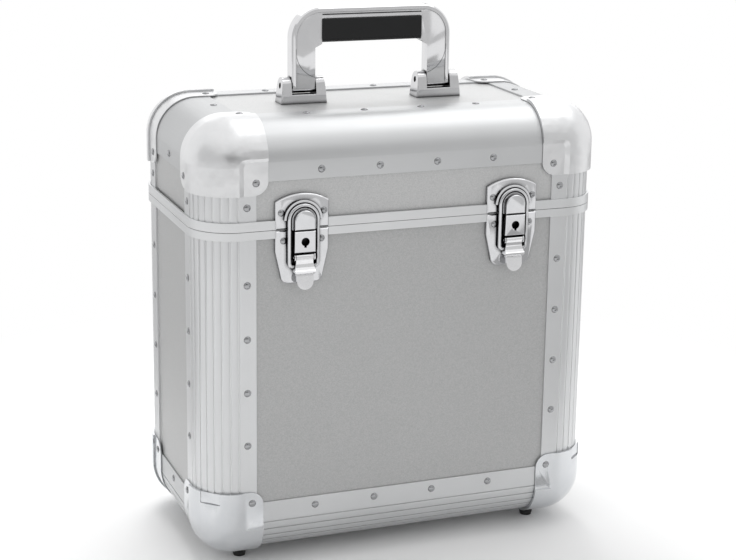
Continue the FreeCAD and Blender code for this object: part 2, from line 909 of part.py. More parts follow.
def lever_side_face():
    def at(proud, drop):
        return Vector(-lever_half_wide - cut_over, -proud, -drop)

    centre = lever_pivot_standoff
    r = lever_knuckle_radius
    pivot = lever_pivot_drop
    back = centre - r
    tip = lever_tab_proud - lever_tab_thickness
    root = lever_step_proud - lever_tab_thickness
    bend = lever_bend_drop + lever_bend_land
    edges = [
        arc(at(back, pivot), at(centre, pivot - r), at(centre + r, pivot)),
        arc(
            at(centre + r, pivot),
            at(lever_hollow_proud, lever_hollow_drop),
            at(lever_bend_proud, lever_bend_drop),
        ),
        line(at(lever_bend_proud, lever_bend_drop), at(lever_bend_proud, bend)),
        line(at(lever_bend_proud, bend), at(lever_step_proud, lever_step_drop)),
        line(at(lever_step_proud, lever_step_drop), at(lever_tab_proud, lever_tab_drop)),
        line(at(lever_tab_proud, lever_tab_drop), at(tip, lever_tab_drop)),
        line(at(tip, lever_tab_drop), at(root, lever_step_drop + lever_bend_land)),
        line(at(root, lever_step_drop + lever_bend_land), at(back, bend + lever_bend_land)),
        line(at(back, bend + lever_bend_land), at(back, pivot)),
    ]
    return outline_face(edges)


def lever_front_face():
    y = -lever_bend_proud - cut_over
    top = lever_pivot_drop - lever_knuckle_radius - cut_over
    wide_end = lever_bend_drop + lever_bend_land
    tab_centre = lever_tab_drop - lever_tab_half
    right = [
        line(Vector(lever_half_top, y, -top), Vector(lever_half_top, y, -lever_straight_drop)),
        line(
            Vector(lever_half_top, y, -lever_straight_drop),
            Vector(lever_half_wide, y, -lever_bend_drop),
        ),
        line(Vector(lever_half_wide, y, -lever_bend_drop), Vector(lever_half_wide, y, -wide_end)),
        line(
            Vector(lever_half_wide, y, -wide_end),
            Vector(lever_tab_half, y, -wide_end - lever_bend_land),
        ),
        line(
            Vector(lever_tab_half, y, -wide_end - lever_bend_land),
            Vector(lever_tab_half, y, -tab_centre),
        ),
    ]
    left = [mirror_x(edge) for edge in right]
    top_line = line(Vector(-lever_half_top, y, -top), Vector(lever_half_top, y, -top))
    end = arc(
        Vector(lever_tab_half, y, -tab_centre),
        Vector(0, y, -lever_tab_drop),
        Vector(-lever_tab_half, y, -tab_centre),
    )
    return outline_face(right + left + [top_line, end])


def lever():
    width = 2 * (lever_half_wide + cut_over)
    depth = 2 * (lever_bend_proud + cut_over)
    solid = lever_side_face().extrude(X_AXIS * width)
    solid = solid.common(lever_front_face().extrude(Y_AXIS * depth))
    pocket = block(
        Vector(-lever_pocket_half, -lever_pocket_proud, -lever_pocket_drop),
        Vector(lever_pocket_half, cut_over, cut_over - lever_pivot_drop + lever_knuckle_radius),
    )
    pin_at = Vector(-width / 2, -lever_pivot_standoff, -lever_pivot_drop)
    pin_hole = Part.makeCylinder(latch_pin_radius + pivot_clearance, width, pin_at, X_AXIS)
    wire_at = Vector(-width / 2, -bail_standoff, -bail_pivot_drop)
    wire_hole = Part.makeCylinder(bail_wire_radius + pivot_clearance, width, wire_at, X_AXIS)
    return solid.cut([pocket, pin_hole, wire_hole])


# Bail: one wire, bent round the keeper's boss, its ends turned into the lever


def arc_stops(centre, radius, start, turn, steps):
    """Points along an arc in the bail's plane; angles in degrees from X."""
    angles = [math.radians(start + turn * i / steps) for i in range(steps + 1)]
    return [centre + Vector(math.cos(a), 0, math.sin(a)) * radius for a in angles]


def bail():
    y = -bail_standoff
    x = bail_half_spacing
    r = bail_foot_bend
    low = -bail_pivot_drop
    bend = arc_stops(Vector(x - r, y, low + r), r, -QUARTER, QUARTER, BEND_STEPS)
    crown = arc_stops(Vector(0, y, boss_centre_rise), x, 0, HALF_TURN, CROWN_STEPS)
    far_bend = [Vector(-at.x, at.y, at.z) for at in reversed(bend)]
    spine = Part.makePolygon(bend + crown + far_bend)
    ring = sided_ring(bend[0], FreeCAD.Rotation(Z_AXIS, X_AXIS), bail_wire_radius, 0)
    section = Part.makePolygon(ring + [ring[0]])
    wire = spine.makePipeShell([section], True, False, MITRED)
    foot_at = Vector(bail_end_inset, y, low)
    foot = Part.makeCylinder(bail_wire_radius, x - r - bail_end_inset, foot_at, X_AXIS)
    return fused([wire, foot, mirror_x(foot)])


# Lock rotor behind the keyhole


def lock_rotor():
    front = -rotor_lift - rotor_thickness
    at = Vector(0, front, -keyhole_drop)
    disc = Part.makeCylinder(rotor_radius, rotor_thickness, at, Y_AXIS)
    low = Vector(-rotor_lug_half, front, -keyhole_drop - rotor_lug_reach)
    lug = block(low, Vector(rotor_lug_half, -rotor_lift, -keyhole_drop))
    low = Vector(-rotor_slot_half, front - cut_over, -keyhole_drop - rotor_slot_length)
    high = Vector(rotor_slot_half, front + rotor_slot_depth, rotor_slot_length - keyhole_drop)
    return disc.fuse(lug).removeSplitter().cut(block(low, high))


def at_latch(shape, side):
    return moved(shape, Vector(side * (half_width - latch_inset), -plate_face_y, parting_z))


# Handle, in axes whose origin is the pivot line


def handle_outline(inset):
    half = handle_half_width - inset
    top = handle_rise - inset
    r = handle_shoulder - inset
    k = r * (1 - math.sqrt(0.5))
    low = -handle_thickness / 2 - cut_over
    edges = [
        line(Vector(-half, 0, low), Vector(-half, 0, top - r)),
        arc(Vector(-half, 0, top - r), Vector(k - half, 0, top - k), Vector(r - half, 0, top)),
        line(Vector(r - half, 0, top), Vector(half - r, 0, top)),
        arc(Vector(half - r, 0, top), Vector(half - k, 0, top - k), Vector(half, 0, top - r)),
        line(Vector(half, 0, top - r), Vector(half, 0, low)),
        line(Vector(half, 0, low), Vector(-half, 0, low)),
    ]
    return outline_face(edges)


def handle_inside():
    leg = handle_half_width - handle_leg_width
    seat_x = grip_half_length + grip_gap
    low = -handle_thickness
    mouth = grip_bottom - shoulder_drop
    roof = grip_top + grip_gap
    y = -handle_thickness
    points = [
        Vector(-leg, y, low),
        Vector(leg, y, low),
        Vector(leg, y, mouth - (leg - seat_x) / 2),
        Vector(seat_x, y, mouth),
        Vector(seat_x, y, roof),
        Vector(-seat_x, y, roof),
        Vector(-seat_x, y, mouth),
        Vector(-leg, y, mouth - (leg - seat_x) / 2),
    ]
    return prism(points, Y_AXIS * (2 * handle_thickness))


def handle_leg_ends():
    """Side outline of the frame: flat faces with a round end about the pin."""
    r = handle_thickness / 2
    x = -handle_half_width - cut_over
    top = handle_rise + cut_over
    edges = [
        line(Vector(x, -r, 0), Vector(x, -r, top)),
        line(Vector(x, -r, top), Vector(x, r, top)),
        line(Vector(x, r, top), Vector(x, r, 0)),
        arc(Vector(x, r, 0), Vector(x, 0, -r), Vector(x, -r, 0)),
    ]
    return outline_face(edges).extrude(X_AXIS * (-2 * x))


def handle_frame():
    half = handle_thickness / 2
    body = moved(handle_outline(0), Y_AXIS * -half).extrude(Y_AXIS * handle_thickness)

    def outer_rim(edge):
        box = edge.BoundBox
        flat = abs(box.YMax - box.YMin) < seat
        return flat and box.ZMax > 0 - half

    body = bevel_edges(body, handle_edge_bevel, outer_rim)
    face = handle_outline(handle_bead)
    front_cut = moved(face, Y_AXIS * (-half - cut_over)).extrude(Y_AXIS * (cut_over + handle_recess))
    body = body.cut([handle_inside(), front_cut, mirror_y(front_cut)])
    body = body.common(handle_leg_ends())
    groove_top = handle_rise - rail_groove_drop
    groove_x = grip_half_length
    groove_y = rail_groove_depth + handle_recess - half
    low = Vector(-groove_x, -half - cut_over, groove_top - rail_groove_width)
    groove = block(low, Vector(groove_x, groove_y, groove_top))
    web_top = grip_top + grip_gap
    web_x = grip_half_length + grip_gap
    web = block(Vector(-web_x, -web_half, web_top - web_depth), Vector(web_x, web_half, web_top))
    body = body.cut([groove, mirror_y(groove)]).fuse(web)
    pin_at = Vector(-handle_half_width - cut_over, 0, 0)
    pin_length = 2 * (handle_half_width + cut_over)
    pin = Part.makeCylinder(handle_pin_radius + pivot_clearance, pin_length, pin_at, X_AXIS)
    return body.cut(pin).removeSplitter()


def handle_grip():
    half = grip_thickness / 2
    box = block(Vector(-grip_half_length, -half, grip_bottom), Vector(grip_half_length, half, grip_top))
    lower = (grip_bottom + grip_top) / 2

    def long_low_edge(edge):
        long_one = edge.Length > grip_half_length
        return long_one and edge.BoundBox.ZMax < lower

    box = round_edges(box, grip_round, long_low_edge)
    web = web_half + grip_gap
    web_low = grip_top - web_depth
    room = block(
        Vector(-grip_half_length - cut_over, -web, web_low),
        Vector(grip_half_length + cut_over, web, grip_top + cut_over),
    )
    return box.cut(room)


def handle_bracket():
    half = bracket_depth / 2
    pivot = handle_pivot_lift
    r = bracket_ear_radius
    x = -bracket_half_width
    lean = math.acos(r / math.hypot(half, pivot - bracket_shoulder))
    lean -= math.atan2(pivot - bracket_shoulder, half)
    touch_y = r * math.cos(lean)
    touch_z = pivot + r * math.sin(lean)
    edges = [
        line(Vector(x, -half, 0), Vector(x, -half, bracket_shoulder)),
        line(Vector(x, -half, bracket_shoulder), Vector(x, -touch_y, touch_z)),
        arc(Vector(x, -touch_y, touch_z), Vector(x, 0, pivot + r), Vector(x, touch_y, touch_z)),
        line(Vector(x, touch_y, touch_z), Vector(x, half, bracket_shoulder)),
        line(Vector(x, half, bracket_shoulder), Vector(x, half, 0)),
        line(Vector(x, half, 0), Vector(x, -half, 0)),
    ]
    body = outline_face(edges).extrude(X_AXIS * (2 * bracket_half_width))
    top = pivot + r
    front = Vector(0, -half - cut_over, 0)
    corners = [
        front + Vector(bracket_half_width, 0, 0),
        front + Vector(bracket_top_half, 0, top),
        front + Vector(bracket_half_width, 0, top),
    ]
    flare = prism(corners, Y_AXIS * (2 * (half + cut_over)))
    body = body.cut([flare, mirror_x(flare)])

    def upright_end_edge(edge):
        box = edge.BoundBox
        return box.ZMin < seat and seat < box.ZMax < bracket_shoulder + seat

    body = bevel_edges(body, bracket_edge_bevel, upright_end_edge)
    leg = handle_leg_width / 2 + bracket_leg_gap
    floor = pivot - handle_thickness / 2 - panel_gap
    slot = block(Vector(-leg, -half - cut_over, floor), Vector(leg, half + cut_over, top + cut_over))
    hole_at = Vector(x - cut_over, 0, pivot)
    hole_length = 2 * (bracket_half_width + cut_over)
    hole = Part.makeCylinder(handle_pin_radius + seat, hole_length, hole_at, X_AXIS)
    return body.cut([slot, hole])


def handle_pin():
    reach = bracket_top_half - handle_pin_inset
    return Part.makeCylinder(handle_pin_radius, 2 * reach, Vector(-reach, 0, handle_pivot_lift), X_AXIS)


# Hinges, drawn like the latches and then turned to the back


def hinge_face(low, high):
    half = hinge_half_width
    r = hinge_leaf_round
    k = r * (1 - math.sqrt(0.5))
    edges = [
        line(Vector(-half, 0, low), Vector(half, 0, low)),
        line(Vector(half, 0, low), Vector(half, 0, high - r)),
        arc(Vector(half, 0, high - r), Vector(half - k, 0, high - k), Vector(half - r, 0, high)),
        line(Vector(half - r, 0, high), Vector(r - half, 0, high)),
        arc(Vector(r - half, 0, high), Vector(k - half, 0, high - k), Vector(-half, 0, high - r)),
        line(Vector(-half, 0, high - r), Vector(-half, 0, low)),
    ]
    return outline_face(edges)


def knuckle(radius, x0, x1):
    at = Vector(x0, -hinge_axis_standoff, 0)
    return Part.makeCylinder(radius, x1 - x0, at, X_AXIS)


def hinge_leaf(own, other):
    """A lid leaf; own and other list the two leaves' knuckle spans."""
    body = pan(hinge_face(plate_edge_gap, hinge_leaf_height))
    cut_radius = hinge_knuckle_radius + hinge_gap
    body = body.cut([knuckle(cut_radius, x0 - hinge_gap, x1 + hinge_gap) for x0, x1 in other])
    curls = [knuckle(hinge_knuckle_radius, x0, x1) for x0, x1 in own]
    bore = knuckle(hinge_pin_radius + seat, -hinge_half_width - cut_over, hinge_half_width + cut_over)
    return fused([body] + curls).cut(bore)


def hinge_spans():
    lid_span = [(-hinge_lid_knuckle_half, hinge_lid_knuckle_half)]
    start = hinge_lid_knuckle_half + hinge_gap
    base_spans = [(-hinge_half_width, -start), (start, hinge_half_width)]
    return lid_span, base_spans


def hinge_pin():
    reach = hinge_half_width + hinge_pin_end
    return knuckle(hinge_pin_radius, -reach, reach)


def at_hinges(shape):
    turned = shape.copy()
    turned.rotate(ORIGIN, Z_AXIS, HALF_TURN)
    places = [Vector(side * (half_width - hinge_inset), plate_face_y, parting_z) for side in (LEFT, RIGHT)]
    return Part.makeCompound([moved(turned, place) for place in places])


# All nodes by name


def shell_nodes():
    nodes = {}
    low = under_z + edge_radius
    high = top_z - edge_radius
    base_upright = upright_profile(low, base_wall_top)
    lid_upright = upright_profile(lid_wall_bottom, high)
    lid_corner = ball_corner(lid_corner_reach_x, lid_corner_reach_z)
    base_corner = ball_corner(base_corner_reach_x, base_corner_reach_z).cut(corner_notch(base_corner_reach_z))
    base_corners = []
    lid_corners = []
    lid_uprights = []
    for side_name, side in SIDES:
        for end_name, end in ENDS:
            place = end_name + "_" + side_name
            nodes["base_upright_" + place] = to_corner(base_upright, side, end)
            lid_uprights.append(to_corner(lid_upright, side, end))
            base_corners.append(placed_corner(base_corner, side, end, False))
            lid_corners.append(placed_corner(lid_corner, side, end, True))
    nodes["base_corners"] = Part.makeCompound(base_corners)
    nodes["lid_corners"] = Part.makeCompound(lid_corners)
    nodes["lid_uprights"] = Part.makeCompound(lid_uprights)
    base_front = front_edge(bottom_flange, True, under_z, 1)
    lid_front = front_edge(top_flange, False, top_z, -1)
    base_front_panel = front_panel(low + panel_gap, base_wall_top)
    lid_front_panel = front_panel(lid_wall_bottom, high - panel_gap)
    for end_name, end in ENDS:
        nodes["base_edge_" + end_name] = to_corner(base_front, LEFT, end)
        nodes["lid_edge_" + end_name] = to_corner(lid_front, LEFT, end)
        nodes["base_panel_" + end_name] = to_corner(base_front_panel, LEFT, end)
        nodes["lid_panel_" + end_name] = to_corner(lid_front_panel, LEFT, end)
    base_side = side_edge(bottom_flange, True, under_z, 1)
    lid_side = side_edge(top_flange, False, top_z, -1)
    base_side_panel = side_panel(low + panel_gap, base_wall_top)
    lid_side_panel = side_panel(lid_wall_bottom, high - panel_gap)
    for side_name, side in SIDES:
        nodes["base_edge_" + side_name] = on_side(base_side, side)
        nodes["lid_edge_" + side_name] = on_side(lid_side, side)
        nodes["base_panel_" + side_name] = on_side(base_side_panel, side)
        nodes["lid_panel_" + side_name] = on_side(lid_side_panel, side)
    nodes["base_panel_bottom"] = flat_panel(under_z + skin)
    nodes["lid_panel_top"] = flat_panel(top_z - skin - panel_thickness)
    nodes["base_belt"] = base_belt()
    nodes["lid_belt"] = lid_belt()
    nodes["base_lining"] = base_lining()
    nodes["lid_lining"] = lid_lining()
    nodes["base_rivets"] = base_rivets()
    nodes["lid_rivets"] = lid_rivets()
    nodes["rubber_feet"] = rubber_feet(base_corners)
    return nodes


def latch_nodes():
    nodes = {}
    moving = {"latch_lever": lever(), "latch_bail": bail(), "lock_rotor": lock_rotor()}
    for side_name, side in SIDES:
        for name, shape in moving.items():
            nodes[name + "_" + side_name] = at_latch(shape, side)
    fixed = {"keepers": keeper(), "latch_plates": latch_plate(), "latch_pins": latch_pin()}
    for name, shape in fixed.items():
        nodes[name] = Part.makeCompound([at_latch(shape, side) for _, side in SIDES])
    return nodes


def handle_nodes():
    nodes = {}
    pivot = Vector(0, 0, handle_pivot_z)
    nodes["handle_frame"] = moved(handle_frame(), pivot)
    nodes["handle_grip"] = moved(handle_grip(), pivot)
    places = [Vector(side * bracket_centre, 0, top_z - skin) for _, side in SIDES]
    for name, shape in (("handle_brackets", handle_bracket()), ("handle_pins", handle_pin())):
        nodes[name] = Part.makeCompound([moved(shape, place) for place in places])
    return nodes


def hinge_nodes():
    lid_span, base_spans = hinge_spans()
    lid_leaf = hinge_leaf(lid_span, base_spans)
    base_leaf = hinge_leaf(base_spans, lid_span).mirror(ORIGIN, Z_AXIS)
    return {
        "hinge_lid_leaves": at_hinges(lid_leaf),
        "hinge_base_leaves": at_hinges(base_leaf),
        "hinge_pins": at_hinges(hinge_pin()),
    }


def main():
    nodes = shell_nodes()
    nodes.update(latch_nodes())
    nodes.update(handle_nodes())
    nodes.update(hinge_nodes())
    os.makedirs("parts", exist_ok=True)
    for name, shape in nodes.items():
        moved(shape, centre_shift).exportStep("parts/" + name + ".step")
    print(len(nodes), "nodes")


main()
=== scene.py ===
import json
import math

import bmesh
import bpy
from bpy.props import FloatProperty, FloatVectorProperty, IntProperty, PointerProperty, StringProperty
from mathutils import Matrix, Vector


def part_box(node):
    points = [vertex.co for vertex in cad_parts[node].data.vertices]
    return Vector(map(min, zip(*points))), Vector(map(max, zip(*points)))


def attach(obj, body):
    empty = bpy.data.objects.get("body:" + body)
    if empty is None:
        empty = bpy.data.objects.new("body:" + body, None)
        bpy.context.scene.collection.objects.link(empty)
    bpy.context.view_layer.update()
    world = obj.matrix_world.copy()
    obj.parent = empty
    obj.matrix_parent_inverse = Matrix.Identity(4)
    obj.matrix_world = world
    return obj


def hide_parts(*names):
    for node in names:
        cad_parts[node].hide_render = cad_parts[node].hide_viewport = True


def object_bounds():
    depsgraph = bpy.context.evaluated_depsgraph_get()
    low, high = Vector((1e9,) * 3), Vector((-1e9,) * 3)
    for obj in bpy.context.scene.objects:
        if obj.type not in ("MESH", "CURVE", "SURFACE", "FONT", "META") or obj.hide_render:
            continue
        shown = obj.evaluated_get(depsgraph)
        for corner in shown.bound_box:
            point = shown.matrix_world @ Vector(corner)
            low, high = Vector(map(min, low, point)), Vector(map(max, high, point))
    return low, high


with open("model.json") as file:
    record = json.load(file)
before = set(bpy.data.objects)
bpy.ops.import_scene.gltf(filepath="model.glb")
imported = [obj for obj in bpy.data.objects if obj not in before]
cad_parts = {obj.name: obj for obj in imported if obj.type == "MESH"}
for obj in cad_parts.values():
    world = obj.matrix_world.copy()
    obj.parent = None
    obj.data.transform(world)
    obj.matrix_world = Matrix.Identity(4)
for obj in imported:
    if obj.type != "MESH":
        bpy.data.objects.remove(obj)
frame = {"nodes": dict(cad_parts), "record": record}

bl_info = {
    "name": "Record carrying case",
    "version": (1, 0, 0),
    "blender": (4, 5, 0),
    "location": "3D View > Sidebar > Record case",
    "description": "Finishes of a record carrying case: metal profiles, laminate, latches, handle and stage",
    "category": "Object",
}

# Lengths are in metres; MM turns millimetres into them.
MM = 0.001
NODES = frame["nodes"]
CAD_LOW, CAD_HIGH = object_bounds()
SIDES = ("left", "right")
SHELLS = ("base", "lid")
UP = Vector((0, 0, 1))

# Kinds of node that the finishes use most.
NOISE = "ShaderNodeTexNoise"
CELLS = "ShaderNodeTexVoronoi"
BLEND = "ShaderNodeMix"
RANGE = "ShaderNodeMapRange"
RELIEF = "ShaderNodeBump"
MATHS = "ShaderNodeMath"
VECTORS = "ShaderNodeVectorMath"

# Corners of a CAD mesh closer than this are one, and faces that bend less than this are one plane.
WELD_REACH = 0.01 * MM
FLAT_DEGREES = 0.3

# The arc engraved on each leg of the handle: its circle, the line's half width and where it stops.
ARC_MIDDLE = (45.9 * MM, 0, 435 * MM)
ARC_RADIUS = 24.15 * MM
ARC_HALF_LINE = 0.3 * MM
ARC_TOP = 2.0 * MM
ARC_INNER_END = 3.0 * MM

# A rivet's head in radii: its dome and the height of its flat rim.
DOME_SHARE = 0.94
RIM_HEIGHT_SHARE = 0.08
DOME_RINGS = 8

# The bail's wire: sides of its round, steps of each foot's bend, degrees between the crown's points.
WIRE_SIDES = 20
BEND_STEPS = 8
CROWN_STEP = 6

# Lamps: name, place, point aimed at, width and depth in metres, and whether the metal shows them.
LAMPS = (
    ("overhead", (0.95, 0.32, 1.9), (0.95, 0.32, 0), 1.3, 1.75, True),
    ("back", (0, 0.9, 2.0), (0, 0, 0.4), 1.0, 1.0, False),
    ("key", (-1.5, -0.5, 1.3), (0, 0, 0.25), 0.9, 0.9, False),
)

# Upright cards behind the case: name, sRGB tone, level, plan and lowest and highest point in metres.
BACK_CARDS = (
    ("bright back wall", "#FFFFFF", 1.5, ((-0.2, 1.4), (1.8, 1.4)), 0.5, 1.3),
    ("grey back foot", "#8A8A8A", 1.0, ((0.2, 1.35), (1.8, 1.35)), 0.0, 0.5),
)

# Cards lying on the paper: name, sRGB tone and outline in metres, set to match the photo's metal.
FLOOR_CARDS = (
    ("front right card", "#B4B4B4", ((0.17, -0.3), (0.47, -1.1), (1.2, -1.1), (1.2, -0.3))),
    ("back right card", "#A0A0A0", ((0.25, 0.3), (1.7, 0.3), (1.7, 2.2), (0.25, 2.2))),
    ("back left card", "#C8C8C8", ((-1.1, 0.15), (-0.3, 0.15), (-0.3, 1.4), (-1.1, 1.4))),
)

# The grey room on the camera's side: where it starts and ends, in degrees from +X, and its panels.
ROOM_START = 170
ROOM_END = 330
ROOM_PANELS = 16

# The dark opening stands at this share of the room's radius.
OPENING_SHARE = 0.85
OPENING_PANELS = 6

# How far the cards lie above the paper, and the paper below the feet.
CARD_LIFT = 2 * MM
PAPER_GAP = 0.1 * MM

# Finishes by name, filled by make_materials.
MATERIALS = {}


# Small helpers


def linear(code):
    """Linear RGBA from an sRGB hex code."""
    channels = [int(code[i:i + 2], 16) / 255 for i in (1, 3, 5)]
    return [c / 12.92 if c <= 0.04045 else ((c + 0.055) / 1.055) ** 2.4 for c in channels] + [1.0]


def set_inputs(tree, node, inputs):
    """Sets sockets, by name or number, to values or links them to other sockets."""
    for key, value in inputs.items():
        if isinstance(value, bpy.types.NodeSocket):
            tree.links.new(value, node.inputs[key])
        else:
            node.inputs[key].default_value = value


def add_node(tree, kind, inputs=None, **settings):
    """One node with its settings and what goes into it."""
    node = tree.nodes.new(kind)
    for name, value in settings.items():
        setattr(node, name, value)
    set_inputs(tree, node, inputs or {})
    return node


def new_material(name):
    """A material with one shader; also returns its tree, the shader and the object's coordinates."""
    material = bpy.data.materials.new(name)
    material.use_nodes = True
    tree = material.node_tree
    tree.nodes.clear()
    shader = add_node(tree, "ShaderNodeBsdfPrincipled")
    add_node(tree, "ShaderNodeOutputMaterial", {"Surface": shader.outputs[0]})
    place = add_node(tree, "ShaderNodeTexCoord").outputs["Object"]
    return material, tree, shader, place


def per_metre(size_mm):
    """Texture scale for a feature of that size."""
    return 1 / (size_mm * MM)


def painted_crevice_tone(tree, tone, shade, reach_mm, closed=0.35, clear=0.85):
    """Painted shade: the tone, changed to another tone in corners and under edges, by how closed in they are.
    Where that tone is the lighter one, it paints light there instead.
    """
    open_sky = add_node(tree, "ShaderNodeAmbientOcclusion", {"Distance": reach_mm * MM}, samples=8)
    factor = add_node(tree, RANGE, {0: open_sky.outputs["AO"], 1: closed, 2: clear}).outputs[0]
    return add_node(tree, BLEND, {0: factor, 6: linear(shade), 7: tone}, data_type="RGBA").outputs[2]


# Materials. Each takes a darker and a lighter sRGB tone.


def anodised_extrusion(name, tones, along, painted_groove_tone="#A2A3A4"):
    """Anodised aluminium, extruded: satin silver with fine die lines along its length."""
    material, tree, shader, place = new_material(name)
    dark, light = map(linear, tones)
    squeeze = [1.0, 1.0, 1.0]
    squeeze[along] = 0.01
    drawn = add_node(tree, "ShaderNodeMapping", {"Vector": place, "Scale": squeeze}).outputs[0]
    grain = {"Vector": drawn, "Scale": per_metre(0.9), "Detail": 3.0, "Roughness": 0.6}
    lines = add_node(tree, NOISE, grain).outputs["Fac"]
    clouds = add_node(tree, NOISE, {"Vector": place, "Scale": per_metre(60)}).outputs["Fac"]
    tone = add_node(tree, BLEND, {0: clouds, 6: dark, 7: light}, data_type="RGBA").outputs[2]
    relief = add_node(tree, RELIEF, {"Height": lines, "Strength": 0.1, "Distance": 0.03 * MM})
    set_inputs(tree, shader, {
        "Metallic": 1.0,
        # Painted shade in the grooves and corners; a lighter groove tone paints light there instead.
        "Base Color": painted_crevice_tone(tree, tone, painted_groove_tone, reach_mm=1.4),
        "Roughness": add_node(tree, RANGE, {0: lines, 3: 0.36, 4: 0.48}).outputs[0],
        "Normal": relief.outputs[0],
    })
    return material


def satin_corner(name, tones):
    """Pressed aluminium, satin: bright skin with clouds and shallow waves left by the press."""
    material, tree, shader, place = new_material(name)
    dark, light = map(linear, tones)
    stains = {"Vector": place, "Scale": per_metre(22), "Detail": 3.0, "Roughness": 0.55}
    clouds = add_node(tree, NOISE, stains).outputs["Fac"]
    tone = add_node(tree, BLEND, {0: clouds, 6: dark, 7: light}, data_type="RGBA").outputs[2]
    waves = add_node(tree, NOISE, {"Vector": place, "Scale": per_metre(15), "Detail": 1.5}).outputs["Fac"]
    relief = add_node(tree, RELIEF, {"Height": waves, "Strength": 0.65, "Distance": 1.4 * MM})
    set_inputs(tree, shader, {
        "Metallic": 1.0,
        # Painted shade in the folds and along the rims.
        "Base Color": painted_crevice_tone(tree, tone, "#6E6F70", reach_mm=1.2),
        "Roughness": add_node(tree, RANGE, {0: clouds, 3: 0.3, 4: 0.42}).outputs[0],
        "Normal": relief.outputs[0],
    })
    return material


def buffed_corner(name, tones):
    """Pressed aluminium, buffed: nearly a mirror, with faint waves."""
    material, tree, shader, place = new_material(name)
    dark, light = map(linear, tones)
    haze = add_node(tree, NOISE, {"Vector": place, "Scale": per_metre(8), "Detail": 3.0}).outputs["Fac"]
    tone = add_node(tree, BLEND, {0: haze, 6: dark, 7: light}, data_type="RGBA").outputs[2]
    waves = add_node(tree, NOISE, {"Vector": place, "Scale": per_metre(26)}).outputs["Fac"]
    relief = add_node(tree, RELIEF, {"Height": waves, "Strength": 0.12, "Distance": 0.3 * MM})
    set_inputs(tree, shader, {
        "Metallic": 1.0,
        # Painted shade in the folds and along the rims.
        "Base Color": painted_crevice_tone(tree, tone, "#5A5B5C", reach_mm=2.0),
        "Roughness": add_node(tree, RANGE, {0: haze, 3: 0.1, 4: 0.18}).outputs[0],
        "Normal": relief.outputs[0],
    })
    return material


def engraved_arcs(tree, tone, place, shade):
    """A fine arc cut into both of the handle's legs, dark against the chrome."""
    either_leg = add_node(tree, VECTORS, {0: place}, operation="ABSOLUTE").outputs[0]
    offset = add_node(tree, VECTORS, {0: either_leg, 1: ARC_MIDDLE}, operation="SUBTRACT").outputs[0]
    flat = add_node(tree, VECTORS, {0: offset, 1: (1, 0, 1)}, operation="MULTIPLY").outputs[0]
    reach = add_node(tree, VECTORS, {0: flat}, operation="LENGTH").outputs["Value"]
    line = add_node(tree, MATHS, {0: reach, 1: ARC_RADIUS, 2: ARC_HALF_LINE}, operation="COMPARE").outputs[0]
    axes = add_node(tree, "ShaderNodeSeparateXYZ", {0: offset}).outputs
    below = add_node(tree, MATHS, {0: axes["Z"], 1: ARC_TOP}, operation="LESS_THAN").outputs[0]
    outside = add_node(tree, MATHS, {0: axes["X"], 1: ARC_INNER_END}, operation="GREATER_THAN").outputs[0]
    drawn = add_node(tree, MATHS, {0: below, 1: outside}, operation="MULTIPLY").outputs[0]
    share = add_node(tree, MATHS, {0: drawn, 1: line}, operation="MULTIPLY").outputs[0]
    return add_node(tree, BLEND, {0: share, 6: tone, 7: linear(shade)}, data_type="RGBA").outputs[2]


def bright_chrome(name, tones, reach_mm=4.0, arcs=False):
    """Chrome plate on a polished casting or pressing: clear reflections, with painted shade in the crevices.
    """
    material, tree, shader, place = new_material(name)
    dark, light = map(linear, tones)
    haze = add_node(tree, NOISE, {"Vector": place, "Scale": per_metre(9), "Detail": 3.0}).outputs["Fac"]
    tone = add_node(tree, BLEND, {0: haze, 6: dark, 7: light}, data_type="RGBA").outputs[2]
    # Painted shade: near black in the crevices, standing in for the dark edges the chrome reflects.
    tone = painted_crevice_tone(tree, tone, "#141516", reach_mm, closed=0.5, clear=0.95)
    if arcs:
        tone = engraved_arcs(tree, tone, place, "#8A8B8C")
    waves = add_node(tree, NOISE, {"Vector": place, "Scale": per_metre(14)}).outputs["Fac"]
    relief = add_node(tree, RELIEF, {"Height": waves, "Strength": 0.06, "Distance": 0.1 * MM})
    set_inputs(tree, shader, {
        "Metallic": 1.0,
        "Base Color": tone,
        "Roughness": add_node(tree, RANGE, {0: haze, 3: 0.06, 4: 0.13}).outputs[0],
        "Normal": relief.outputs[0],
    })
    return material


def glitter_laminate(name, tones):
    """Sprayed metallic laminate: mid grey with a fine sparkle and a light orange peel."""
    material, tree, shader, place = new_material(name)
    dark, light = map(linear, tones)
    # Real flakes are about 0.1 mm. They are drawn at 0.6 mm so that they show.
    flakes = add_node(tree, CELLS, {"Vector": place, "Scale": per_metre(0.6)})
    flake = add_node(tree, "ShaderNodeSeparateColor", {0: flakes.outputs["Color"]}).outputs[0]
    peel = add_node(tree, NOISE, {"Vector": place, "Scale": per_metre(1.6)}).outputs["Fac"]
    relief = add_node(tree, RELIEF, {"Height": peel, "Strength": 0.06, "Distance": 0.05 * MM})
    set_inputs(tree, shader, {
        "Metallic": 0.35,
        "Base Color": add_node(tree, BLEND, {0: flake, 6: dark, 7: light}, data_type="RGBA").outputs[2],
        "Roughness": add_node(tree, RANGE, {0: flake, 3: 0.42, 4: 0.62}).outputs[0],
        "Coat Weight": 0.5,
        "Coat Roughness": 0.3,
        "Normal": relief.outputs[0],
    })
    return material


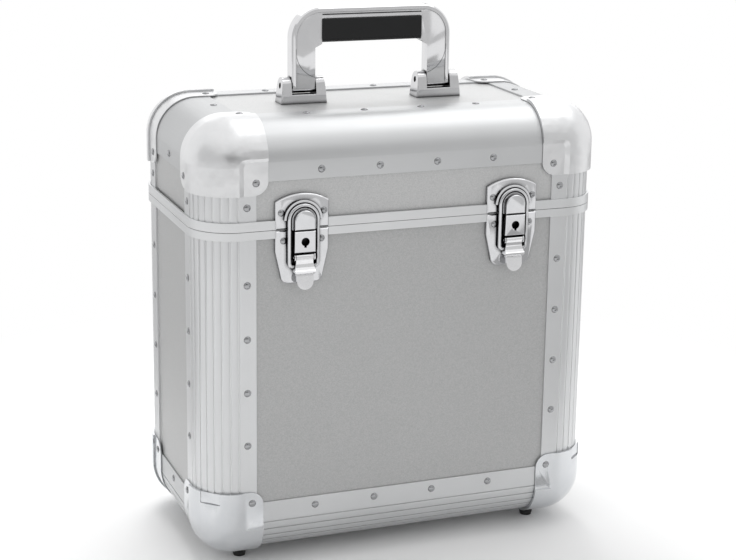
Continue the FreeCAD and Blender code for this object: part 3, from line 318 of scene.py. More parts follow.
def moulded_grip(name, tones):
    """Black ABS, moulded: matt with a fine leather-like grain."""
    material, tree, shader, place = new_material(name)
    dark, light = map(linear, tones)
    clouds = add_node(tree, NOISE, {"Vector": place, "Scale": per_metre(12)}).outputs["Fac"]
    grain = add_node(tree, CELLS, {"Vector": place, "Scale": per_metre(0.8)}).outputs["Distance"]
    relief = add_node(tree, RELIEF, {"Height": grain, "Strength": 0.12, "Distance": 0.05 * MM})
    set_inputs(tree, shader, {
        "Base Color": add_node(tree, BLEND, {0: clouds, 6: dark, 7: light}, data_type="RGBA").outputs[2],
        "Roughness": 0.38,
        "Specular IOR Level": 0.3,
        "Normal": relief.outputs[0],
    })
    return material


def black_rubber(name, tones):
    """Moulded natural rubber: dull black, dusty."""
    material, tree, shader, place = new_material(name)
    dark, light = map(linear, tones)
    dust = add_node(tree, NOISE, {"Vector": place, "Scale": per_metre(3), "Detail": 4.0}).outputs["Fac"]
    pores = add_node(tree, NOISE, {"Vector": place, "Scale": per_metre(0.4)}).outputs["Fac"]
    relief = add_node(tree, RELIEF, {"Height": pores, "Strength": 0.3, "Distance": 0.05 * MM})
    set_inputs(tree, shader, {
        "Base Color": add_node(tree, BLEND, {0: dust, 6: dark, 7: light}, data_type="RGBA").outputs[2],
        "Roughness": 0.8,
        "Normal": relief.outputs[0],
    })
    return material


def eva_foam(name, tones):
    """EVA foam with a napped face: dark grey, soft and without gloss."""
    material, tree, shader, place = new_material(name)
    dark, light = map(linear, tones)
    nap = {"Vector": place, "Scale": per_metre(0.7), "Detail": 4.0, "Roughness": 0.7}
    cells = add_node(tree, NOISE, nap).outputs["Fac"]
    relief = add_node(tree, RELIEF, {"Height": cells, "Strength": 0.5, "Distance": 0.2 * MM})
    set_inputs(tree, shader, {
        "Base Color": add_node(tree, BLEND, {0: cells, 6: dark, 7: light}, data_type="RGBA").outputs[2],
        "Roughness": 0.95,
        "Sheen Weight": 0.4,
        "Normal": relief.outputs[0],
    })
    return material


def blackened_cam(name, tones):
    """Blackened steel, oiled: nearly black, with a dull gleam on the lock's cam."""
    material, tree, shader, place = new_material(name)
    dark, light = map(linear, tones)
    oil = add_node(tree, NOISE, {"Vector": place, "Scale": per_metre(2), "Detail": 3.0}).outputs["Fac"]
    set_inputs(tree, shader, {
        "Metallic": 1.0,
        "Base Color": add_node(tree, BLEND, {0: oil, 6: dark, 7: light}, data_type="RGBA").outputs[2],
        "Roughness": add_node(tree, RANGE, {0: oil, 3: 0.25, 4: 0.45}).outputs[0],
    })
    return material


def zinc_plate(name, tones):
    """Zinc plated steel, pressed: grey silver with a faint mottle."""
    material, tree, shader, place = new_material(name)
    dark, light = map(linear, tones)
    spangle = {"Vector": place, "Scale": per_metre(3), "Detail": 4.0, "Roughness": 0.6}
    mottle = add_node(tree, NOISE, spangle).outputs["Fac"]
    set_inputs(tree, shader, {
        "Metallic": 1.0,
        "Base Color": add_node(tree, BLEND, {0: mottle, 6: dark, 7: light}, data_type="RGBA").outputs[2],
        "Roughness": add_node(tree, RANGE, {0: mottle, 3: 0.22, 4: 0.38}).outputs[0],
    })
    return material


def make_materials(settings):
    """Every finish, by the name that the pieces ask for."""
    tones = {name: getattr(settings, name).split() for name in CaseFinishSettings.__annotations__}
    MATERIALS.update(
        # The uprights' grooves take a near white tone: painted light that lifts the shade in them.
        upright=anodised_extrusion("anodised extrusion upright", tones["upright"], 2, "#F2F3F3"),
        front_edge=anodised_extrusion("anodised extrusion along the front", tones["front_edge"], 0),
        side_edge=anodised_extrusion("anodised extrusion along the side", tones["side_edge"], 1),
        belt=anodised_extrusion("anodised belt extrusion", tones["belt"], 0),
        lid_corner=satin_corner("pressed satin aluminium", tones["lid_corner"]),
        base_corner=buffed_corner("pressed buffed aluminium", tones["base_corner"]),
        handle=bright_chrome("chrome on zinc casting", tones["handle"]),
        handle_frame=bright_chrome("chrome on engraved zinc casting", tones["handle_frame"], 2.0, arcs=True),
        latch=bright_chrome("chrome on pressed steel", tones["latch"]),
        # The levers take a lighter copy of the latches' chrome: painted light.
        lever=bright_chrome("chrome on pressed lever", tones["lever"], 2.5),
        # The rivets take a darker copy of the chrome: painted shade for the dark reflections on their heads.
        rivet=bright_chrome("polished rivet", tones["rivet"]),
        panel=glitter_laminate("sparkling grey laminate", tones["panel"]),
        # A lighter copy of the laminate for the lid's front and top: painted light where more light falls
        # from above.
        lid_panel=glitter_laminate("sparkling grey laminate, lighter sheet", tones["lid_panel"]),
        grip=moulded_grip("moulded black grip", tones["grip"]),
        rubber=black_rubber("black rubber", tones["rubber"]),
        foam=eva_foam("napped foam", tones["foam"]),
        cam=blackened_cam("blackened steel cam", tones["cam"]),
        hinge=zinc_plate("zinc plated hinge steel", tones["hinge"]),
    )


# Shaping


def merged_mesh(node, name):
    """A copy of a CAD node's mesh with its loose triangles joined."""
    shape = bmesh.new()
    shape.from_mesh(NODES[node].data)
    bmesh.ops.remove_doubles(shape, verts=shape.verts, dist=WELD_REACH)
    flat = math.radians(FLAT_DEGREES)
    bmesh.ops.dissolve_limit(shape, angle_limit=flat, verts=shape.verts, edges=shape.edges)
    mesh = bpy.data.meshes.new(name)
    shape.to_mesh(mesh)
    shape.free()
    return mesh


def smooth(mesh, angle):
    """Shades softly across folds below the angle, in degrees."""
    mesh.shade_smooth()
    mesh.set_sharp_from_angle(angle=math.radians(angle))


def add_object(name, mesh, material):
    """An object for a mesh, in one finish."""
    mesh.materials.clear()
    mesh.materials.append(material)
    obj = bpy.data.objects.new(name, mesh)
    bpy.context.scene.collection.objects.link(obj)
    return obj


def soften(obj, width, segments, angle):
    """Rounds the sharp edges, as pressing, casting and tumbling leave them."""
    bevel = obj.modifiers.new("worn edges", "BEVEL")
    bevel.width = width
    bevel.segments = segments
    bevel.limit_method = "ANGLE"
    bevel.angle_limit = math.radians(angle)
    bevel.harden_normals = True


def seat_piece(obj, body, slot, *nodes):
    """Fixes a piece to its body, in place of its nodes."""
    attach(obj, body)
    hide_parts(*nodes)


def body_of(node):
    """The moving body that holds a CAD node."""
    for body, members in frame["record"]["behaviour"]["bodies"].items():
        if node in members:
            return body
    raise RuntimeError("no body holds " + node)


def slot_of(node):
    """A CAD node's material slot."""
    for part in frame["record"]["subparts"]:
        if part["node"] == node:
            return part["material_slot"]
    raise RuntimeError("no slot for " + node)


def dressed(node, material, width, segments=2, angle=35):
    """A finished copy of a CAD node with softened edges, which stands in its place."""
    mesh = merged_mesh(node, "finished_" + node)
    obj = add_object("finished_" + node, mesh, MATERIALS[material])
    soften(obj, width, segments, angle)
    smooth(mesh, angle)
    seat_piece(obj, body_of(node), slot_of(node), node)


def islands(node):
    """Lowest corner, highest corner and points of each separate solid in a node's mesh."""
    shape = bmesh.new()
    shape.from_mesh(NODES[node].data)
    bmesh.ops.remove_doubles(shape, verts=shape.verts, dist=WELD_REACH)
    left = set(shape.verts)
    boxes = []
    while left:
        stack = [left.pop()]
        seen = []
        while stack:
            vertex = stack.pop()
            seen.append(vertex.co.copy())
            for edge in vertex.link_edges:
                other = edge.other_vert(vertex)
                if other in left:
                    left.remove(other)
                    stack.append(other)
        low = Vector(min(co[i] for co in seen) for i in range(3))
        high = Vector(max(co[i] for co in seen) for i in range(3))
        boxes.append((low, high, seen))
    shape.free()
    return boxes


# Rivets, by geometry nodes


def head_places(node):
    """Foot, direction and radius of each rivet head, read from the faceted heads in the frame."""
    places = []
    for low, high, points in islands(node):
        size = high - low
        axis = min(range(3), key=lambda i: size[i])
        middle = (low + high) / 2
        wide_low = max((p - middle).length for p in points if p[axis] < middle[axis])
        wide_high = max((p - middle).length for p in points if p[axis] > middle[axis])
        direction = Vector((0, 0, 0))
        direction[axis] = 1 if wide_low > wide_high else -1
        foot = middle.copy()
        foot[axis] = low[axis] if wide_low > wide_high else high[axis]
        places.append((foot, direction, max(size) / 2))
    return places


def rivet_tree():
    """Domed heads with a thin rim on points that carry a facing and a radius."""
    tree = bpy.data.node_groups.new("rivet heads", "GeometryNodeTree")
    face = tree.interface
    face.new_socket("Points", in_out="INPUT", socket_type="NodeSocketGeometry")
    face.new_socket("Height share", in_out="INPUT", socket_type="NodeSocketFloat")
    face.new_socket("Sides", in_out="INPUT", socket_type="NodeSocketInt")
    face.new_socket("Finish", in_out="INPUT", socket_type="NodeSocketMaterial")
    face.new_socket("Heads", in_out="OUTPUT", socket_type="NodeSocketGeometry")
    given = add_node(tree, "NodeGroupInput").outputs
    dome = add_node(tree, "GeometryNodeMeshUVSphere", {
        "Segments": given["Sides"], "Rings": DOME_RINGS, "Radius": DOME_SHARE,
    })
    flat = add_node(tree, "ShaderNodeCombineXYZ", {"X": 1.0, "Y": 1.0, "Z": given["Height share"]})
    pressed = {"Geometry": dome.outputs["Mesh"], "Scale": flat.outputs[0]}
    dome = add_node(tree, "GeometryNodeTransform", pressed)
    rim = add_node(tree, "GeometryNodeMeshCone", {
        "Vertices": given["Sides"], "Radius Top": DOME_SHARE, "Radius Bottom": 1.0, "Depth": RIM_HEIGHT_SHARE,
    })
    joined = add_node(tree, "GeometryNodeJoinGeometry")
    tree.links.new(rim.outputs["Mesh"], joined.inputs[0])
    tree.links.new(dome.outputs["Geometry"], joined.inputs[0])
    facing = add_node(tree, "GeometryNodeInputNamedAttribute", {"Name": "facing"}, data_type="FLOAT_VECTOR")
    radius = add_node(tree, "GeometryNodeInputNamedAttribute", {"Name": "radius"}, data_type="FLOAT")
    aim = {"Vector": facing.outputs["Attribute"]}
    turn = add_node(tree, "FunctionNodeAlignRotationToVector", aim, axis="Z")
    heads = add_node(tree, "GeometryNodeInstanceOnPoints", {
        "Points": given["Points"], "Instance": joined.outputs[0], "Rotation": turn.outputs[0],
        "Scale": radius.outputs["Attribute"],
    })
    real = add_node(tree, "GeometryNodeRealizeInstances", {"Geometry": heads.outputs[0]})
    soft = add_node(tree, "GeometryNodeSetShadeSmooth", {"Geometry": real.outputs[0]})
    finish = {"Geometry": soft.outputs[0], "Material": given["Finish"]}
    done = add_node(tree, "GeometryNodeSetMaterial", finish)
    add_node(tree, "NodeGroupOutput", {0: done.outputs[0]})
    return tree


def baked(obj, name):
    """The modifiers' result as a plain mesh on a new object."""
    view = bpy.context.evaluated_depsgraph_get()
    mesh = bpy.data.meshes.new_from_object(obj.evaluated_get(view))
    mesh.name = name
    bpy.data.objects.remove(obj)
    plain = bpy.data.objects.new(name, mesh)
    bpy.context.scene.collection.objects.link(plain)
    return plain


def run_tree(name, mesh, tree, values):
    """Runs a geometry node tree on a mesh; values maps socket names to settings."""
    obj = bpy.data.objects.new(name + " source", mesh)
    bpy.context.scene.collection.objects.link(obj)
    modifier = obj.modifiers.new(name, "NODES")
    modifier.node_group = tree
    for item in tree.interface.items_tree:
        if item.in_out == "INPUT" and item.name in values:
            modifier[item.identifier] = values[item.name]
    obj.update_tag()
    return baked(obj, name)


def rivets(node, name, settings):
    """Domed heads in place of a node's faceted ones."""
    places = head_places(node)
    mesh = bpy.data.meshes.new(name + " points")
    mesh.from_pydata([foot for foot, _, _ in places], [], [])
    mesh.attributes.new("facing", "FLOAT_VECTOR", "POINT")
    mesh.attributes.new("radius", "FLOAT", "POINT")
    for i, (_, direction, size) in enumerate(places):
        mesh.attributes["facing"].data[i].vector = direction
        mesh.attributes["radius"].data[i].value = size
    values = {
        "Height share": settings.head_height, "Sides": settings.head_sides, "Finish": MATERIALS["rivet"],
    }
    obj = run_tree(name, mesh, rivet_tree(), values)
    seat_piece(obj, body_of(node), "rivets", node)


# Wire bails, by geometry nodes


def wire_tree():
    """A round wire along a line of points."""
    tree = bpy.data.node_groups.new("bent wire", "GeometryNodeTree")
    face = tree.interface
    face.new_socket("Path", in_out="INPUT", socket_type="NodeSocketGeometry")
    face.new_socket("Wire radius", in_out="INPUT", socket_type="NodeSocketFloat")
    face.new_socket("Finish", in_out="INPUT", socket_type="NodeSocketMaterial")
    face.new_socket("Wire", in_out="OUTPUT", socket_type="NodeSocketGeometry")
    given = add_node(tree, "NodeGroupInput").outputs
    path = add_node(tree, "GeometryNodeMeshToCurve", {"Mesh": given["Path"]})
    ring = add_node(tree, "GeometryNodeCurvePrimitiveCircle", {
        "Resolution": WIRE_SIDES, "Radius": given["Wire radius"],
    })
    tube = add_node(tree, "GeometryNodeCurveToMesh", {
        "Curve": path.outputs[0], "Profile Curve": ring.outputs[0], "Fill Caps": True,
    })
    real = add_node(tree, "GeometryNodeRealizeInstances", {"Geometry": tube.outputs[0]})
    soft = add_node(tree, "GeometryNodeSetShadeSmooth", {"Geometry": real.outputs[0]})
    finish = {"Geometry": soft.outputs[0], "Material": given["Finish"]}
    done = add_node(tree, "GeometryNodeSetMaterial", finish)
    add_node(tree, "NodeGroupOutput", {0: done.outputs[0]})
    return tree


def bail_path(low, high, wire, bend, inset):
    """Centre line of a bail that fills its node's box: foot, bend, leg, crown and back."""
    middle = (low + high) / 2
    half = (high.x - low.x) / 2 - wire
    foot = low.z + wire
    crown = high.z - wire - half
    right = [Vector((inset, 0, foot))]
    for i in range(BEND_STEPS + 1):
        angle = math.radians(90 * i / BEND_STEPS - 90)
        right.append(Vector((half - bend + bend * math.cos(angle), 0, foot + bend + bend * math.sin(angle))))
    arch = [
        Vector((half * math.cos(math.radians(a)), 0, crown + half * math.sin(math.radians(a))))
        for a in range(0, 180 + CROWN_STEP, CROWN_STEP)
    ]
    left = [Vector((-p.x, 0, p.z)) for p in reversed(right)]
    return [Vector((middle.x + p.x, middle.y, p.z)) for p in right + arch + left]


def wire_bail(side, settings):
    """The bent wire of one latch, as thick as its CAD node."""
    node = "latch_bail_" + side
    low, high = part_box(node)
    wire = (high.y - low.y) / 2
    path = bail_path(low, high, wire, settings.bail_bend, settings.bail_inset)
    mesh = bpy.data.meshes.new("bail path " + side)
    mesh.from_pydata(path, [(i, i + 1) for i in range(len(path) - 1)], [])
    values = {"Wire radius": wire, "Finish": MATERIALS["latch"]}
    obj = run_tree("wire_bail_" + side, mesh, wire_tree(), values)
    seat_piece(obj, body_of(node), slot_of(node), node)


# Foam sheets


def foam_sheets(node, settings):
    """The flat foam sheets of one shell, with soft edges."""
    shape = bmesh.new()
    for low, high, _ in islands(node):
        size = high - low
        made = bmesh.ops.create_cube(shape, size=1.0)["verts"]
        move = Matrix.Translation((low + high) / 2) @ Matrix.Diagonal((*size, 1.0))
        bmesh.ops.transform(shape, matrix=move, verts=made)
    mesh = bpy.data.meshes.new("foam_" + node)
    shape.to_mesh(mesh)
    shape.free()
    obj = add_object("foam_" + node, mesh, MATERIALS["foam"])
    soften(obj, settings.foam_edge, segments=3, angle=35)
    smooth(mesh, 35)
    seat_piece(obj, body_of(node), "lining", node)


# Stage


def seen_rays(tree):
    """1 for camera, glossy and transmission rays, 0 for the rays that light the object."""
    path = add_node(tree, "ShaderNodeLightPath").outputs
    direct = {0: path["Is Camera Ray"], 1: path["Is Glossy Ray"]}
    seen = add_node(tree, MATHS, direct, operation="MAXIMUM").outputs[0]
    return add_node(tree, MATHS, {0: seen, 1: path["Is Transmission Ray"]}, operation="MAXIMUM").outputs[0]


def stage_floor(settings):
    """White paper: it keeps the shadow near the case and is seen as plain white further off."""
    size = settings.floor_size
    mesh = bpy.data.meshes.new("floor")
    corners = [(-size, -size, 0), (size, -size, 0), (size, size, 0), (-size, size, 0)]
    mesh.from_pydata(corners, [], [(0, 1, 2, 3)])
    material, tree, shader, place = new_material("white paper sweep")
    set_inputs(tree, shader, {"Base Color": linear("#FAFAFA"), "Roughness": 0.9, "Specular IOR Level": 0.0})
    reach = add_node(tree, VECTORS, {0: place}, operation="LENGTH").outputs["Value"]
    fade = {0: reach, 1: settings.shadow_reach, 2: settings.shadow_reach * 2}
    far = add_node(tree, RANGE, fade, interpolation_type="SMOOTHSTEP").outputs[0]
    share = add_node(tree, MATHS, {0: far, 1: seen_rays(tree)}, operation="MULTIPLY").outputs[0]
    paper = add_node(tree, "ShaderNodeEmission", {"Color": linear("#FFFFFF")})
    joined = add_node(tree, "ShaderNodeMixShader", {0: share, 1: shader.outputs[0], 2: paper.outputs[0]})
    tree.links.new(joined.outputs[0], tree.nodes["Material Output"].inputs["Surface"])
    floor = add_object("floor", mesh, material)
    floor.location.z = CAD_LOW.z - PAPER_GAP


def soft_light(name, place, target, width, depth, in_metal, watts):
    """A soft box over the case; in_metal says whether reflections show it."""
    data = bpy.data.lights.new(name, "AREA")
    data.shape = "RECTANGLE"
    data.size = width
    data.size_y = depth
    data.energy = watts
    lamp = bpy.data.objects.new(name, data)
    lamp.location = place
    lamp.rotation_euler = (Vector(target) - Vector(place)).to_track_quat("-Z", "Y").to_euler()
    lamp.visible_camera = False
    lamp.visible_glossy = in_metal
    bpy.context.scene.collection.objects.link(lamp)


def screen_tone(name, code, level=1.0):
    """A card that glows in one tone at the given level, with no gloss of its own."""
    material, tree, shader, _ = new_material(name)
    card = add_node(tree, "ShaderNodeEmission", {"Color": linear(code), "Strength": level})
    tree.links.new(card.outputs[0], tree.nodes["Material Output"].inputs["Surface"])
    tree.nodes.remove(shader)
    return material


def only_reflected(card):
    """Hides a card from everything but reflections."""
    card.visible_camera = False
    card.visible_diffuse = False
    card.visible_shadow = False


def studio_screen(name, points, low, high, material):
    """A card on edge, as stands beside chrome in a studio; only reflections show it."""
    verts = [(x, y, z) for x, y in points for z in (low, high)]
    faces = [(2 * i, 2 * i + 2, 2 * i + 3, 2 * i + 1) for i in range(len(points) - 1)]
    mesh = bpy.data.meshes.new(name)
    mesh.from_pydata(verts, [], faces)
    only_reflected(add_object(name, mesh, material))


def arc_points(radius, start, end, steps):
    """Points of an arc round the case; the angles are in degrees from +X."""
    turns = [math.radians(start + (end - start) * i / steps) for i in range(steps + 1)]
    return [(radius * math.cos(turn), radius * math.sin(turn)) for turn in turns]


def floor_card(name, code, corners):
    """A grey card lying on the paper, which tones down what the metal reflects there."""
    mesh = bpy.data.meshes.new(name)
    mesh.from_pydata([(x, y, CARD_LIFT) for x, y in corners], [], [(0, 1, 2, 3)])
    only_reflected(add_object(name, mesh, screen_tone(name, code)))


def studio_screens(settings):
    """The grey room behind the camera, the dark opening it looks through, and the other cards."""
    radius = settings.room_radius
    wall = arc_points(radius, ROOM_START, ROOM_END, ROOM_PANELS)
    grey = screen_tone("grey wall", "#D4D4D4")
    studio_screen("grey wall", wall, settings.room_low, settings.room_high, grey)
    gap = arc_points(radius * OPENING_SHARE, settings.opening_start, settings.opening_end, OPENING_PANELS)
    black = screen_tone("dark opening", "#121212")
    studio_screen("dark opening", gap, settings.opening_low, settings.opening_high, black)
    for name, code, level, plan, low, high in BACK_CARDS:
        studio_screen(name, plan, low, high, screen_tone(name, code, level))
    for name, code, corners in FLOOR_CARDS:
        floor_card(name, code, corners)


def white_world(settings):
    """A white room: full white where it is seen, a lower level where it lights the case."""
    world = bpy.data.worlds.new("studio white")
    bpy.context.scene.world = world
    world.use_nodes = True
    tree = world.node_tree
    tree.nodes.clear()
    level = add_node(tree, RANGE, {0: seen_rays(tree), 3: settings.world_level, 4: 1.0}).outputs[0]
    sky = add_node(tree, "ShaderNodeBackground", {"Color": linear("#FFFFFF"), "Strength": level})
    add_node(tree, "ShaderNodeOutputWorld", {"Surface": sky.outputs[0]})


def photo_camera(settings):
    """The photograph's viewpoint: an aim point, a distance and three angles."""
    yaw = math.radians(settings.camera_yaw)
    pitch = math.radians(settings.camera_pitch)
    roll = math.radians(settings.camera_roll)
    back = Vector((math.sin(yaw) * math.cos(pitch), -math.cos(yaw) * math.cos(pitch), math.sin(pitch)))
    right = (-back).cross(UP).normalized()
    above = right.cross(-back)
    turned = right * math.cos(roll) + above * math.sin(roll)
    above = above * math.cos(roll) - right * math.sin(roll)
    data = bpy.data.cameras.new("photograph")
    data.sensor_width = 36.0
    data.lens = settings.camera_lens
    data.shift_y = settings.camera_shift
    camera = bpy.data.objects.new("photograph", data)
    place = Vector(settings.camera_aim) + back * settings.camera_distance
    axes = Matrix((turned, above, back)).transposed().to_4x4()
    camera.matrix_world = Matrix.Translation(place) @ axes
    bpy.context.scene.collection.objects.link(camera)
    bpy.context.scene.camera = camera
    bpy.context.scene.view_settings.view_transform = "Standard"


# Settings


class CaseFinishSettings(bpy.types.PropertyGroup):
    """Each finish as a darker and a lighter sRGB tone"""

    # The profiles are one anodised aluminium; their tones differ by facing as lit and shaded copies. The
    # uprights' lighter tones are painted light.
    upright: StringProperty(
        name="Uprights", description="Anodised upright profiles", default="#D4D5D6 #DEDFE0")
    front_edge: StringProperty(
        name="Front profiles", description="Anodised profiles along front and back",
        default="#CCCDCE #D6D7D8")
    # The side profiles' darker tones are painted shade.
    side_edge: StringProperty(
        name="Side profiles", description="Anodised profiles along the sides", default="#BEBFC0 #C8C9CA")
    # The belts' lighter tones are painted light.
    belt: StringProperty(
        name="Belts", description="Anodised belts along the parting line", default="#DADBDC #E6E7E8")
    lid_corner: StringProperty(
        name="Lid corners", description="Satin ball corners of the lid", default="#DADBDC #EEEEEF")
    base_corner: StringProperty(
        name="Base corners", description="Buffed ball corners of the base", default="#CDD0D3 #DADBDD")
    handle: StringProperty(
        name="Brackets", description="Chrome of the handle's brackets and pins",
        default="#D0D0D2 #DEDEDF")
    handle_frame: StringProperty(
        name="Handle", description="Chrome of the handle's frame", default="#D8D8DA #E4E4E5")
    latch: StringProperty(
        name="Latches", description="Chrome of plates, keepers and bails", default="#D0D1D3 #E0E0E2")
    # The levers' lighter chrome is painted light.
    lever: StringProperty(
        name="Levers", description="Chrome of the latches' levers", default="#EBEBED #F4F4F5")
    # The rivets' darker chrome is painted shade.
    rivet: StringProperty(name="Rivets", description="Polished rivet heads", default="#9C9D9F #B6B7B9")
    panel: StringProperty(
        name="Laminate", description="Panels of base and lid", default="#A5A6A6 #BABABA")
    # The lighter laminate is painted light on the lid's front and top.
    lid_panel: StringProperty(
        name="Laminate with painted light", description="Front and top panels of the lid", default="#B3B4B4 #C8C8C8")
    grip: StringProperty(name="Grip", description="Moulded grip", default="#101112 #171819")
    rubber: StringProperty(name="Feet", description="Rubber feet", default="#161616 #242322")
    foam: StringProperty(name="Foam", description="Foam sheets inside", default="#2A2A2C #3C3C3F")
    cam: StringProperty(name="Lock cams", description="Blackened lock cams", default="#1C1C1D #323334")
    hinge: StringProperty(name="Hinges", description="Zinc plated hinges", default="#BFC2C5 #D6D8DA")


class CaseEdgeSettings(bpy.types.PropertyGroup):
    """How far each kind of piece is rounded at its sharp edges"""

    upright: FloatProperty(
        name="Uprights", description="Rounding of the upright profiles' ribs",
        default=0.15 * MM, unit="LENGTH")
    profile: FloatProperty(
        name="Profiles", description="Rounding of the other profiles and the belts",
        default=0.2 * MM, unit="LENGTH")
    lid_corner: FloatProperty(
        name="Lid corners", description="Rounding of the lid corners' folds",
        default=1.0 * MM, unit="LENGTH")
    base_corner: FloatProperty(
        name="Base corners", description="Rounding of the base corners' folds",
        default=0.45 * MM, unit="LENGTH")
    latch_plate: FloatProperty(
        name="Latch plates", description="Rounding of the latches' plates",
        default=0.35 * MM, unit="LENGTH")
    keeper: FloatProperty(
        name="Keepers", description="Rounding of the keepers", default=0.4 * MM, unit="LENGTH")
    latch_pin: FloatProperty(
        name="Latch pins", description="Rounding of the lever pins' ends",
        default=0.2 * MM, unit="LENGTH")
    lever: FloatProperty(
        name="Levers", description="Rounding of the levers", default=0.7 * MM, unit="LENGTH")
    lock_rotor: FloatProperty(
        name="Lock rotors", description="Rounding of the locks' rotors", default=0.15 * MM, unit="LENGTH")
    handle: FloatProperty(
        name="Handle", description="Rounding of the handle's frame and brackets",
        default=0.9 * MM, unit="LENGTH")
    handle_pin: FloatProperty(
        name="Handle pins", description="Rounding of the handle pins' ends",
        default=0.3 * MM, unit="LENGTH")
    grip: FloatProperty(
        name="Grip", description="Rounding of the grip's ends", default=0.8 * MM, unit="LENGTH")
    hinge: FloatProperty(
        name="Hinges", description="Rounding of the hinges", default=0.3 * MM, unit="LENGTH")
    foot: FloatProperty(name="Feet", description="Rounding of the feet", default=1.2 * MM, unit="LENGTH")


class CaseStageSettings(bpy.types.PropertyGroup):
    """The photograph's camera, the lamps, the grey room and the floor"""

    camera_yaw: FloatProperty(
        name="Yaw", description="Camera's turn about the case, degrees", default=-20.92)
    camera_pitch: FloatProperty(name="Pitch", description="Camera's height angle, degrees", default=14.1)
    camera_roll: FloatProperty(name="Roll", description="Camera's roll, degrees", default=0.78)
    camera_lens: FloatProperty(name="Lens", description="Focal length in mm", default=86.9)
    camera_shift: FloatProperty(name="Shift", description="Vertical shift of the frame", default=-0.068)
    camera_distance: FloatProperty(
        name="Distance", description="From the aim point", default=1.6041, unit="LENGTH")
    camera_aim: FloatVectorProperty(
        name="Aim", description="Point that the camera looks at",
        default=(0.00095, 0.00175, 0.26938), size=3,
        subtype="XYZ", unit="LENGTH")
    world_level: FloatProperty(name="World level", description="Light from the white room", default=0.76)
    key_power: FloatProperty(name="Key power", description="Lamp at the left", default=1.0, unit="POWER")
    overhead_power: FloatProperty(
        name="Overhead power", description="Large lamp above", default=7.4, unit="POWER")
    back_power: FloatProperty(
        name="Back power", description="Lamp high behind the case", default=20.0, unit="POWER")
    room_radius: FloatProperty(
        name="Room radius", description="Grey room's radius", default=1.9, unit="LENGTH")
    room_low: FloatProperty(
        name="Room foot", description="Grey room's lower rim", default=0.1, unit="LENGTH")
    room_high: FloatProperty(
        name="Room head", description="Grey room's upper rim", default=1.5, unit="LENGTH")
    shadow_reach: FloatProperty(
        name="Shadow reach", description="Where the floor starts to fade to white",
        default=0.34, unit="LENGTH")
    opening_start: FloatProperty(
        name="Opening start", description="Dark opening's left side, degrees", default=243)
    opening_end: FloatProperty(
        name="Opening end", description="Dark opening's right side, degrees", default=279)
    opening_low: FloatProperty(
        name="Opening foot", description="Dark opening's foot", default=0.5, unit="LENGTH")
    opening_high: FloatProperty(
        name="Opening head", description="Dark opening's head", default=0.98, unit="LENGTH")
    floor_size: FloatProperty(
        name="Floor size", description="Half width of the floor", default=4.0, unit="LENGTH")


class CaseRivetSettings(bpy.types.PropertyGroup):
    """Shape of the rivets' heads"""

    head_height: FloatProperty(
        name="Head height", description="Height as a share of the radius", default=0.42)
    head_sides: IntProperty(name="Sides", description="Sides of a head", default=20)


class CaseLatchSettings(bpy.types.PropertyGroup):
    """Shape of the wire bails"""

    bail_bend: FloatProperty(
        name="Bend", description="Radius of the foot's bend", default=3 * MM, unit="LENGTH")
    bail_inset: FloatProperty(
        name="Foot end", description="Half gap between the wire's ends", default=6.5 * MM, unit="LENGTH")


class CaseLiningSettings(bpy.types.PropertyGroup):
    """Shape of the foam sheets"""

    foam_edge: FloatProperty(
        name="Edge", description="Rounding of a sheet's rim", default=0.9 * MM, unit="LENGTH")


# Operators


class CASE_OT_materials(bpy.types.Operator):
    """Make the finishes and put them on the nodes that stay"""

    bl_idname = "record_case.materials"
    bl_label = "Finishes and panels"

    def execute(self, context):
        make_materials(context.scene.case_finishes)
        for node, obj in NODES.items():
            if "_panel_" in node:
                obj.data.materials.clear()
                # The lid's front and top take the lighter copy: painted light from above.
                lighter = node in ("lid_panel_front", "lid_panel_top")
                obj.data.materials.append(MATERIALS["lid_panel" if lighter else "panel"])
        return {"FINISHED"}


class CASE_OT_profiles(bpy.types.Operator):
    """Dress the edge profiles, the belts and the ball corners"""

    bl_idname = "record_case.profiles"
    bl_label = "Profiles, belts and corners"

    def execute(self, context):
        edges = context.scene.case_edges
        for node in sorted(NODES):
            if "_upright" in node:
                dressed(node, "upright", edges.upright, segments=1, angle=25)
            elif node.endswith(("_edge_front", "_edge_back")):
                dressed(node, "front_edge", edges.profile, angle=25)
            elif node.endswith("_belt"):
                dressed(node, "belt", edges.profile, angle=25)
            elif node.endswith(("_edge_left", "_edge_right")):
                dressed(node, "side_edge", edges.profile, angle=25)
        dressed("lid_corners", "lid_corner", edges.lid_corner, segments=4, angle=16)
        dressed("base_corners", "base_corner", edges.base_corner, segments=3, angle=30)
        return {"FINISHED"}


class CASE_OT_rivets(bpy.types.Operator):
    """Set a domed head on every rivet's place"""

    bl_idname = "record_case.rivets"
    bl_label = "Rivets"

    def execute(self, context):
        for shell in SHELLS:
            rivets(shell + "_rivets", "domed_rivets_" + shell, context.scene.case_rivets)
        return {"FINISHED"}


class CASE_OT_latches(bpy.types.Operator):
    """Dress the latch plates, keepers, levers and pins, and bend the wire bails"""

    bl_idname = "record_case.latches"
    bl_label = "Latches"

    def execute(self, context):
        edges = context.scene.case_edges
        dressed("latch_plates", "latch", edges.latch_plate)
        dressed("keepers", "latch", edges.keeper)
        dressed("latch_pins", "latch", edges.latch_pin)
        for side in SIDES:
            dressed("latch_lever_" + side, "lever", edges.lever, segments=4, angle=25)
            dressed("lock_rotor_" + side, "cam", edges.lock_rotor)
            wire_bail(side, context.scene.case_latches)
        return {"FINISHED"}


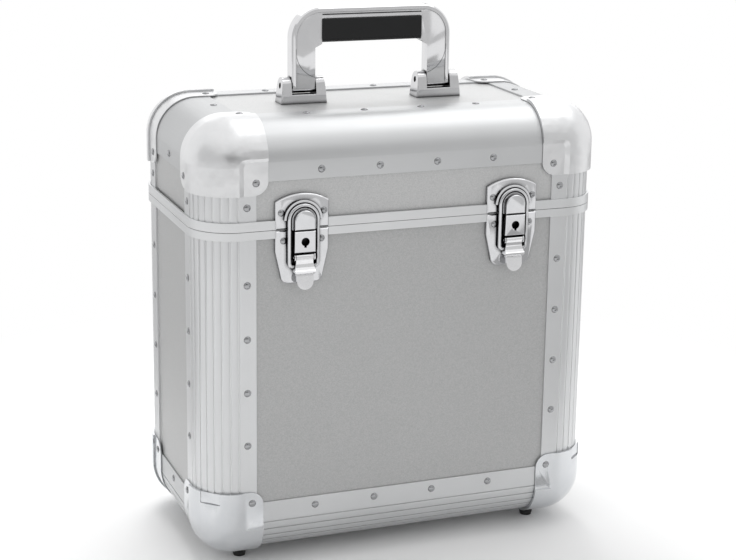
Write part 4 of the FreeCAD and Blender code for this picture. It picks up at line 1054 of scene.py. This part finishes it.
class CASE_OT_handle(bpy.types.Operator):
    """Dress the folding handle, its grip, brackets and pins"""

    bl_idname = "record_case.handle"
    bl_label = "Handle"

    def execute(self, context):
        edges = context.scene.case_edges
        dressed("handle_frame", "handle_frame", edges.handle, segments=3, angle=30)
        dressed("handle_brackets", "handle", edges.handle, segments=4, angle=30)
        dressed("handle_pins", "handle", edges.handle_pin)
        dressed("handle_grip", "grip", edges.grip, segments=3, angle=30)
        return {"FINISHED"}


class CASE_OT_hinges(bpy.types.Operator):
    """Dress the hinges at the back"""

    bl_idname = "record_case.hinges"
    bl_label = "Hinges"

    def execute(self, context):
        for node in ("hinge_base_leaves", "hinge_lid_leaves", "hinge_pins"):
            dressed(node, "hinge", context.scene.case_edges.hinge)
        return {"FINISHED"}


class CASE_OT_feet(bpy.types.Operator):
    """Dress the rubber feet"""

    bl_idname = "record_case.feet"
    bl_label = "Feet"

    def execute(self, context):
        dressed("rubber_feet", "rubber", context.scene.case_edges.foot, segments=3, angle=30)
        return {"FINISHED"}


class CASE_OT_lining(bpy.types.Operator):
    """Lay the foam sheets inside both shells"""

    bl_idname = "record_case.lining"
    bl_label = "Foam lining"

    def execute(self, context):
        for shell in SHELLS:
            foam_sheets(shell + "_lining", context.scene.case_lining)
        return {"FINISHED"}


class CASE_OT_stage(bpy.types.Operator):
    """Set the floor, the soft studio light and the photograph's camera"""

    bl_idname = "record_case.stage"
    bl_label = "Stage"

    def execute(self, context):
        settings = context.scene.case_stage
        stage_floor(settings)
        white_world(settings)
        for lamp in LAMPS:
            soft_light(*lamp, getattr(settings, lamp[0] + "_power"))
        studio_screens(settings)
        photo_camera(settings)
        return {"FINISHED"}


class CASE_PT_panel(bpy.types.Panel):
    """Lists the case's pieces"""

    bl_idname = "CASE_PT_panel"
    bl_label = "Record case"
    bl_space_type = "VIEW_3D"
    bl_region_type = "UI"
    bl_category = "Record case"

    def draw(self, context):
        for operator in OPERATORS:
            self.layout.operator(operator.bl_idname)
        for group in SETTINGS:
            box = self.layout.box()
            values = getattr(context.scene, group)
            for name in SETTINGS[group].__annotations__:
                box.prop(values, name)


OPERATORS = (
    CASE_OT_materials, CASE_OT_profiles, CASE_OT_rivets, CASE_OT_latches, CASE_OT_handle, CASE_OT_hinges,
    CASE_OT_feet, CASE_OT_lining, CASE_OT_stage,
)
SETTINGS = {
    "case_finishes": CaseFinishSettings,
    "case_edges": CaseEdgeSettings,
    "case_stage": CaseStageSettings,
    "case_rivets": CaseRivetSettings,
    "case_latches": CaseLatchSettings,
    "case_lining": CaseLiningSettings,
}


def register():
    for group, cls in SETTINGS.items():
        bpy.utils.register_class(cls)
        setattr(bpy.types.Scene, group, PointerProperty(type=cls))
    for cls in (*OPERATORS, CASE_PT_panel):
        bpy.utils.register_class(cls)


def unregister():
    for cls in (CASE_PT_panel, *reversed(OPERATORS)):
        bpy.utils.unregister_class(cls)
    for group, cls in SETTINGS.items():
        delattr(bpy.types.Scene, group)
        bpy.utils.unregister_class(cls)


def main():
    """Builds the case piece by piece"""
    register()
    for operator in OPERATORS:
        group, name = operator.bl_idname.split(".")
        getattr(getattr(bpy.ops, group), name)()


if __name__ == "__main__":
    main()
